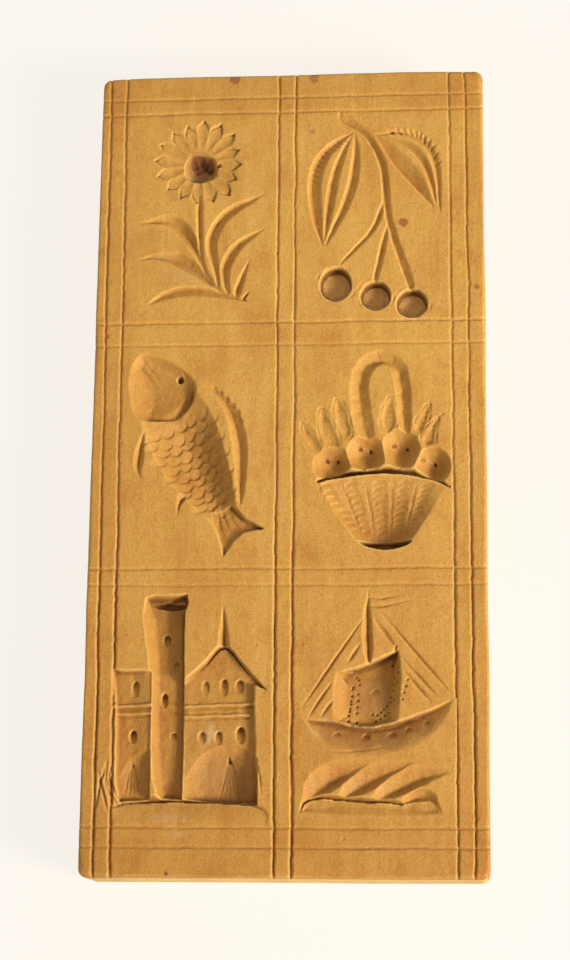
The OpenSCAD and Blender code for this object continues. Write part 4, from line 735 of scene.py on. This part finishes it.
def build_plank():
    """One closed mesh: the carved face, the sides and the underside, with numbers for the material on it."""
    depth, drop, top = worn_face()
    index = np.arange(NX * NY).reshape(NY, NX)
    ring = border(index)
    n = len(ring)
    flat_edge = np.stack([X, Y], axis=-1).reshape(-1, 2)[ring]
    ends = (np.abs(flat_edge[:, 1]) > L / 2 - 0.01).astype(float)
    rings = sides(top[ring], flat_edge, ends)
    rows = [ring] + [NX * NY + i * n + np.arange(n) for i in range(len(rings))]
    cols, lines = (NX - 1) // COARSE, (NY - 1) // COARSE
    under = underside(cols, lines)
    low = NX * NY + len(rings) * n + np.arange(len(under)).reshape(lines + 1, cols + 1)
    quads = np.vstack([squares(index)] + [np.stack([np.roll(a, -1), a, b, np.roll(b, -1)], axis=-1) for a,
        b in zip(rows, rows[1:])] + [squares(low)[:, [0, 3, 2, 1]]])
    inner = border(low)
    belt = []
    for i in range(len(inner)):
        outer = [rows[-1][(COARSE * i + j) % n] for j in range(COARSE, -1, -1)]
        belt.append(outer + [inner[i], inner[(i + 1) % len(inner)]])
    belt = np.array(belt)

    verts = np.vstack([top] + rings + [under]) * 0.001
    mesh = bpy.data.meshes.new("plank")
    mesh.vertices.add(len(verts))
    mesh.vertices.foreach_set("co", verts.astype(np.float32).ravel())
    loops = np.concatenate([quads.ravel(), belt.ravel()]).astype(np.int32)
    sizes = np.repeat([4, belt.shape[1]], [len(quads), len(belt)])
    mesh.loops.add(len(loops))
    mesh.loops.foreach_set("vertex_index", loops)
    mesh.polygons.add(len(sizes))
    mesh.polygons.foreach_set("loop_start", (np.cumsum(sizes) - sizes).astype(np.int32))
    mesh.polygons.foreach_set("use_smooth", np.ones(len(sizes), bool))
    mesh.update(calc_edges=True)
    mesh.validate()

    for name, m in material_maps(depth, depth + drop).items():
        rest = np.zeros(len(verts) - NX * NY)
        if name == "butt":
            rest[:len(rings) * n] = np.tile(ends, len(rings))
        attribute = mesh.attributes.new(name, "FLOAT", "POINT")
        attribute.data.foreach_set("value", np.concatenate([m.ravel(), rest]).astype(np.float32))
    plank = bpy.data.objects.new("plank", mesh)
    bpy.context.scene.collection.objects.link(plank)
    return plank


# ------------------------------------------------------------------ materials
class Nodes:
    """A short way to write a node material."""

    def __init__(self, name):
        self.material = bpy.data.materials.new(name)
        self.material.use_nodes = True
        self.tree = self.material.node_tree
        self.shader = self.tree.nodes["Principled BSDF"]

    def new(self, kind, **settings):
        node = self.tree.nodes.new(kind)
        for key, value in settings.items():
            setattr(node, key, value)
        return node

    def link(self, source, target):
        if isinstance(source, (int, float)):
            target.default_value = source
        elif isinstance(source, (tuple, list)):
            target.default_value = (*source, 1) if len(source) == 3 and target.type == "RGBA" else source
        else:
            self.tree.links.new(source, target)

    def math(self, what, a, b=0.0, c=0.0, clamp=False):
        node = self.new("ShaderNodeMath", operation=what, use_clamp=clamp)
        for value, socket in zip((a, b, c), node.inputs):
            self.link(value, socket)
        return node.outputs[0]

    def attribute(self, name):
        return self.new("ShaderNodeAttribute", attribute_name=name, attribute_type="GEOMETRY").outputs["Fac"]

    def place(self, sx, sy, sz):
        """Coordinates on the object in millimetres, squeezed along each axis."""
        where = self.new("ShaderNodeTexCoord").outputs["Object"]
        node = self.new("ShaderNodeMapping")
        self.link(where, node.inputs["Vector"])
        node.inputs["Scale"].default_value = (1000 * sx, 1000 * sy, 1000 * sz)
        return node.outputs[0]

    def noise(self, vector, detail=2.0, roughness=0.5, distortion=0.0):
        node = self.new("ShaderNodeTexNoise")
        self.link(vector, node.inputs["Vector"])
        node.inputs["Scale"].default_value = 1.0
        node.inputs["Detail"].default_value = detail
        node.inputs["Roughness"].default_value = roughness
        node.inputs["Distortion"].default_value = distortion
        return node.outputs["Fac"]

    def ramp(self, value, low, high, to_low=0.0, to_high=1.0, smooth=True):
        node = self.new("ShaderNodeMapRange", interpolation_type="SMOOTHSTEP" if smooth else "LINEAR")
        for socket, v in zip(node.inputs, (value, low, high, to_low, to_high)):
            self.link(v, socket)
        return node.outputs[0]

    def mix(self, factor, a, b, how="MIX"):
        node = self.new("ShaderNodeMix", data_type="RGBA", blend_type=how)
        self.link(factor, node.inputs["Factor"])
        self.link(a, node.inputs[6])
        self.link(b, node.inputs[7])
        return node.outputs[2]

    def times(self, a, b, clamp=False):
        return self.math("MULTIPLY", a, b, clamp=clamp)

    def tint(self, factor, colour, by):
        """The colour, multiplied by another as far as factor says."""
        return self.mix(factor, colour, self.mix(1.0, colour, by, "MULTIPLY"))

    def spot(self, x, y, r):
        """1 inside a round spot of the plank's face, 0 outside, with a soft ragged edge."""
        where = self.place(1, 1, 0)
        shift = self.new("ShaderNodeVectorMath", operation="DISTANCE")
        self.link(where, shift.inputs[0])
        shift.inputs[1].default_value = (x, y, 0)
        far = self.math("ADD", shift.outputs["Value"], self.times(self.noise(self.place(0.9, 0.9, 0.9)), 0.8))
        return self.ramp(far, r + 0.75, r + 0.1)


def wood():
    n = Nodes("old_wood")
    streaks = n.noise(n.place(0.20, 0.02, 0.20), 4, 0.6, 0.5)
    fibres = n.noise(n.place(2.4, 0.35, 2.4), 3, 0.65)
    speckle = n.noise(n.place(2.9, 2.3, 2.9), 3, 0.7)
    fine = n.noise(n.place(4.6, 2.6, 4.6), 2, 0.6)
    blotches = n.noise(n.place(0.055, 0.045, 0.055), 3, 0.6)
    patches = n.noise(n.place(0.16, 0.13, 0.16), 3, 0.6)
    mottle = n.noise(n.place(0.6, 0.5, 0.6), 3, 0.6)
    colour = n.mix(n.ramp(streaks, 0.3, 0.7), (0.655, 0.345, 0.067), (0.715, 0.392, 0.083))
    for value, low, high, most, by in [(blotches, 0.44, 0.70, 0.75, (0.90, 0.80, 0.72)),
            (patches, 0.52, 0.72, 0.7, (0.90, 0.78, 0.66)), (mottle, 0.35, 0.75, 0.5, (1.08, 1.10, 1.16)),
            (fibres, 0.35, 0.7, 0.55, (0.88, 0.84, 0.78)), (speckle, 0.50, 0.66, 1.0, (0.80, 0.74, 0.66)),
            (speckle, 0.50, 0.36, 1.0, (1.10, 1.13, 1.22)), (fine, 0.58, 0.72, 0.6, (0.72, 0.62, 0.52))]:
        colour = n.tint(n.ramp(value, low, high, 0, most), colour, by)
    # painted shade: the plank is browner round its border and toward its near end, as light falling off across it
    place = n.new("ShaderNodeSeparateXYZ")
    n.link(n.place(1, 1, 1), place.inputs[0])
    waver = n.times(n.math("SUBTRACT", blotches, 0.5), 12)
    x, y = n.math("ADD", place.outputs["X"], waver), n.math("ADD", place.outputs["Y"], waver)
    for where, lit, shaded, strength in [(x, -38, -50, 0.42), (x, 44, 52, 0.25), (y, 98, 107, 0.38),
            (y, -92, -106, 0.42), (y, 60, -110, 0.55)]:
        colour = n.tint(n.times(n.ramp(where, lit, shaded), strength), colour, (0.80, 0.70, 0.62))
    # wood in the cuts: browner with depth, partly darker wood and partly painted shade; dark across the grain, end
    # grain with more painted shade the deeper the cut; dark in the crevices, partly dirt and partly painted shade
    deep, hollow, proud = n.attribute("deep"), n.attribute("hollow"), n.attribute("proud")
    colour = n.tint(n.ramp(deep, 0.25, 1.0, 0, 0.6), colour, (0.86, 0.82, 0.82))
    colour = n.tint(n.ramp(deep, 0.8, 4.0, 0, 1.0), colour, (0.86, 0.81, 0.78))
    # end grain, darkened more the deeper the cut as painted shade
    across = n.times(n.ramp(n.attribute("end_grain"), 0.5, 0.95), n.ramp(deep, 0.6, 3.0, 0.1, 1.0))
    colour = n.mix(n.times(across, 0.8), colour, (0.20, 0.072, 0.014))
    # crevices: partly dirt and partly painted shade
    crevice = n.times(n.ramp(hollow, 0.06, 0.9), n.ramp(mottle, 0.2, 0.8, 0.75, 1.1), clamp=True)
    colour = n.mix(n.times(crevice, 0.8), colour, (0.16, 0.056, 0.012))
    # the drilled floors get painted light, a paler colour; the arrises are paler, partly rubbed by wear and partly a
    # painted highlight
    lit = n.mix(n.ramp(speckle, 0.4, 0.65), (0.90, 0.54, 0.19), (0.66, 0.36, 0.11))
    colour = n.mix(n.times(n.ramp(n.attribute("floor"), 0.4, 1.0), 0.85), colour, lit)
    # arrises: paler, partly rubbed by wear and partly a painted highlight
    worn = n.times(n.ramp(proud, 0.03, 0.22), n.ramp(mottle, 0.2, 0.7, 0.5, 1.0), clamp=True)
    colour = n.mix(n.times(worn, 0.35), colour, (0.88, 0.60, 0.20))
    # the sawn ends are painted light, paler than the wood, with faint growth rings
    butt = n.attribute("butt")
    rings = n.noise(n.place(0.10, 0.0, 0.9), 3, 0.6, 1.2)
    pale = n.mix(n.ramp(rings, 0.35, 0.65), (1.40, 1.82, 2.4), (1.50, 2.10, 3.1))
    colour = n.tint(butt, colour, pale)
    chalk = n.times(n.attribute("chalk"), n.ramp(mottle, 0.3, 0.6), clamp=True)
    colour = n.mix(n.times(chalk, 0.65), colour, (0.60, 0.47, 0.27))
    # real stains, and the spots of painted shade
    for x, y, r, strength, spot_colour in STAINS_AND_SHADE:
        spot = n.times(n.spot(x * SX, y * SY, r), n.math("SUBTRACT", 1.0, butt))
        colour = n.mix(n.times(spot, strength), colour, spot_colour)
    n.link(colour, n.shader.inputs["Base Color"])
    n.link(n.ramp(n.math("ADD", speckle, n.times(crevice, 0.5)), 0.3, 1.1, 0.55, 0.85),
        n.shader.inputs["Roughness"])
    n.shader.inputs["Specular IOR Level"].default_value = 0.3
    height = n.math("ADD", n.times(speckle, -0.8), n.math("ADD", n.times(fine, -0.35), n.times(mottle, 0.8)))
    bump = n.new("ShaderNodeBump")
    bump.inputs["Strength"].default_value = 0.6
    bump.inputs["Distance"].default_value = 0.00022
    n.link(height, bump.inputs["Height"])
    n.link(bump.outputs[0], n.shader.inputs["Normal"])
    return n.material


def pale_floor():
    n = Nodes("pale_floor")
    cloud = n.noise(n.place(0.004, 0.004, 0.004), 2, 0.5)
    n.link(n.mix(n.ramp(cloud, 0.3, 0.7), (0.105, 0.101, 0.094), (0.115, 0.111, 0.104)),
        n.shader.inputs["Base Color"])
    n.shader.inputs["Roughness"].default_value = 0.8
    n.shader.inputs["Specular IOR Level"].default_value = 0.1
    n.shader.inputs["Emission Color"].default_value = (1.0, 0.955, 0.885, 1)
    n.shader.inputs["Emission Strength"].default_value = 0.87
    return n.material


# ------------------------------------------------------------------ light, floor, camera
def studio():
    bpy.ops.mesh.primitive_circle_add(vertices=96, radius=9.0, fill_type="NGON", location=(0, 0, -0.0002))
    floor = bpy.context.object
    floor.name = "floor"
    floor.data.materials.append(pale_floor())
    world = bpy.data.worlds.new("soft_room")
    world.use_nodes = True
    world.node_tree.nodes["Background"].inputs["Color"].default_value = (1.0, 0.965, 0.92, 1)
    world.node_tree.nodes["Background"].inputs["Strength"].default_value = 0.46
    bpy.context.scene.world = world
    # one large soft lamp low on the right, a little toward the near end
    turn, rise, far = math.radians(-24), math.radians(31), 1.4
    where = far * np.array([math.cos(turn) * math.cos(rise), math.sin(turn) * math.cos(rise), math.sin(rise)])
    lamp = bpy.data.objects.new("lamp", bpy.data.lights.new("lamp", "AREA"))
    lamp.data.shape = "DISK"
    lamp.data.size = 0.44
    lamp.data.energy = 24
    lamp.data.color = (1.0, 0.95, 0.88)
    aim = -where / far
    side = np.cross(aim, (0, 0, 1))
    side /= np.linalg.norm(side)
    up = np.cross(side, aim)
    lamp.matrix_world = Matrix([[side[i], up[i], -aim[i], where[i]] for i in range(3)] + [[0, 0, 0, 1]])
    bpy.context.scene.collection.objects.link(lamp)


def camera():
    """Looks down on the plank from above its near end, slightly from the right."""
    place = np.array([50.98, -149.25, 602.91])
    target = np.array([-0.6, -6.21, 20.0])
    roll = math.radians(0.70)
    back = (place - target) / np.linalg.norm(place - target)
    right = np.cross((0, 1, 0), back)
    right /= np.linalg.norm(right)
    up = np.cross(back, right)
    right, up = right * math.cos(roll) + up * math.sin(roll), up * math.cos(roll) - right * math.sin(roll)
    data = bpy.data.cameras.new("camera")
    data.sensor_fit, data.sensor_height, data.lens = "VERTICAL", 24, 54.67
    data.clip_start, data.clip_end = 0.01, 20
    eye = bpy.data.objects.new("camera", data)
    eye.matrix_world = Matrix([[right[i], up[i], back[i], place[i] * 0.001] for i in range(3)] + [[0, 0, 0, 1]])
    bpy.context.scene.collection.objects.link(eye)
    bpy.context.scene.camera = eye


# Stains, and painted shade in the flower's eye, the hull, the hill and the sail: x, y, radius in mm, strength,
# colour
STAINS_AND_SHADE = [
    (32, 68.4, 1.3, 0.75, (0.30, 0.072, 0.030)), (6, 96.5, 0.8, 0.5, (0.36, 0.13, 0.05)),
    (41.5, 61.5, 0.3, 0.4, (0.36, 0.15, 0.06)), (52.5, 49, 0.8, 0.6, (0.22, 0.09, 0.03)),
    (-16.5, 113.3, 1.5, 0.7, (0.26, 0.085, 0.03)), (6.5, 113, 1.4, 0.6, (0.28, 0.10, 0.035)),
    (-31, -113.3, 0.5, 0.8, (0.08, 0.04, 0.02)), (-33, 78, 1.6, 0.22, (0.36, 0.15, 0.05)),
    (-36, 101, 2.2, 0.22, (0.45, 0.2, 0.06)), (-41, 64.5, 2.2, 0.2, (0.45, 0.2, 0.06)),
    (-18, 61.6, 1.0, 0.3, (0.42, 0.19, 0.06)),
    # painted shade in the flower's eye, darkest at its top and right
    (-26.3, 87.4, 3.9, 0.35, (0.26, 0.10, 0.035)), (-26.8, 88.2, 2.3, 0.6, (0.14, 0.045, 0.022)),
    (-23.8, 87.0, 1.6, 0.5, (0.16, 0.05, 0.025)),
    # painted shade in the hull, the hill and the sail
    (13, -75.8, 3.4, 0.38, (0.34, 0.15, 0.045)), (20.5, -77, 4.2, 0.42, (0.34, 0.15, 0.045)),
    (29, -76.6, 4.2, 0.42, (0.34, 0.15, 0.045)), (37, -73.6, 3.0, 0.42, (0.36, 0.13, 0.045)),
    (-16.5, -88.6, 6.5, 0.34, (0.36, 0.17, 0.05)), (23.4, -66, 5.5, 0.3, (0.34, 0.16, 0.05))]


scene = bpy.context.scene
scene.view_settings.view_transform = "Standard"
camera()
studio()
scored_lines()
carve_flower()
carve_cherries()
carve_fish()
carve_basket()
carve_castle()
carve_ship()
for x, y, rx, ry, strength in [(-26.8, 84.0, 3.2, 1.4, 1.0), (-20.4, -76, 1.4, 2.4, 0.9), (-31, 54, 5, 2, 0.35),
        (8, -76, 2.5, 1.5, 0.4), (-31, -98.6, 4.2, 1.1, 0.55), (-28, -103, 3.4, 1.6, 0.35),
        (-36, 59, 4, 1.2, 0.3)]:
    CHALK[:] = np.maximum(CHALK, strength * np.exp(-((X - x * SX) / rx) ** 2 - ((Y - y * SY) / ry) ** 2))
plank = build_plank()
plank.data.materials.append(wood())
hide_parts("board")
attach(plank, "root")
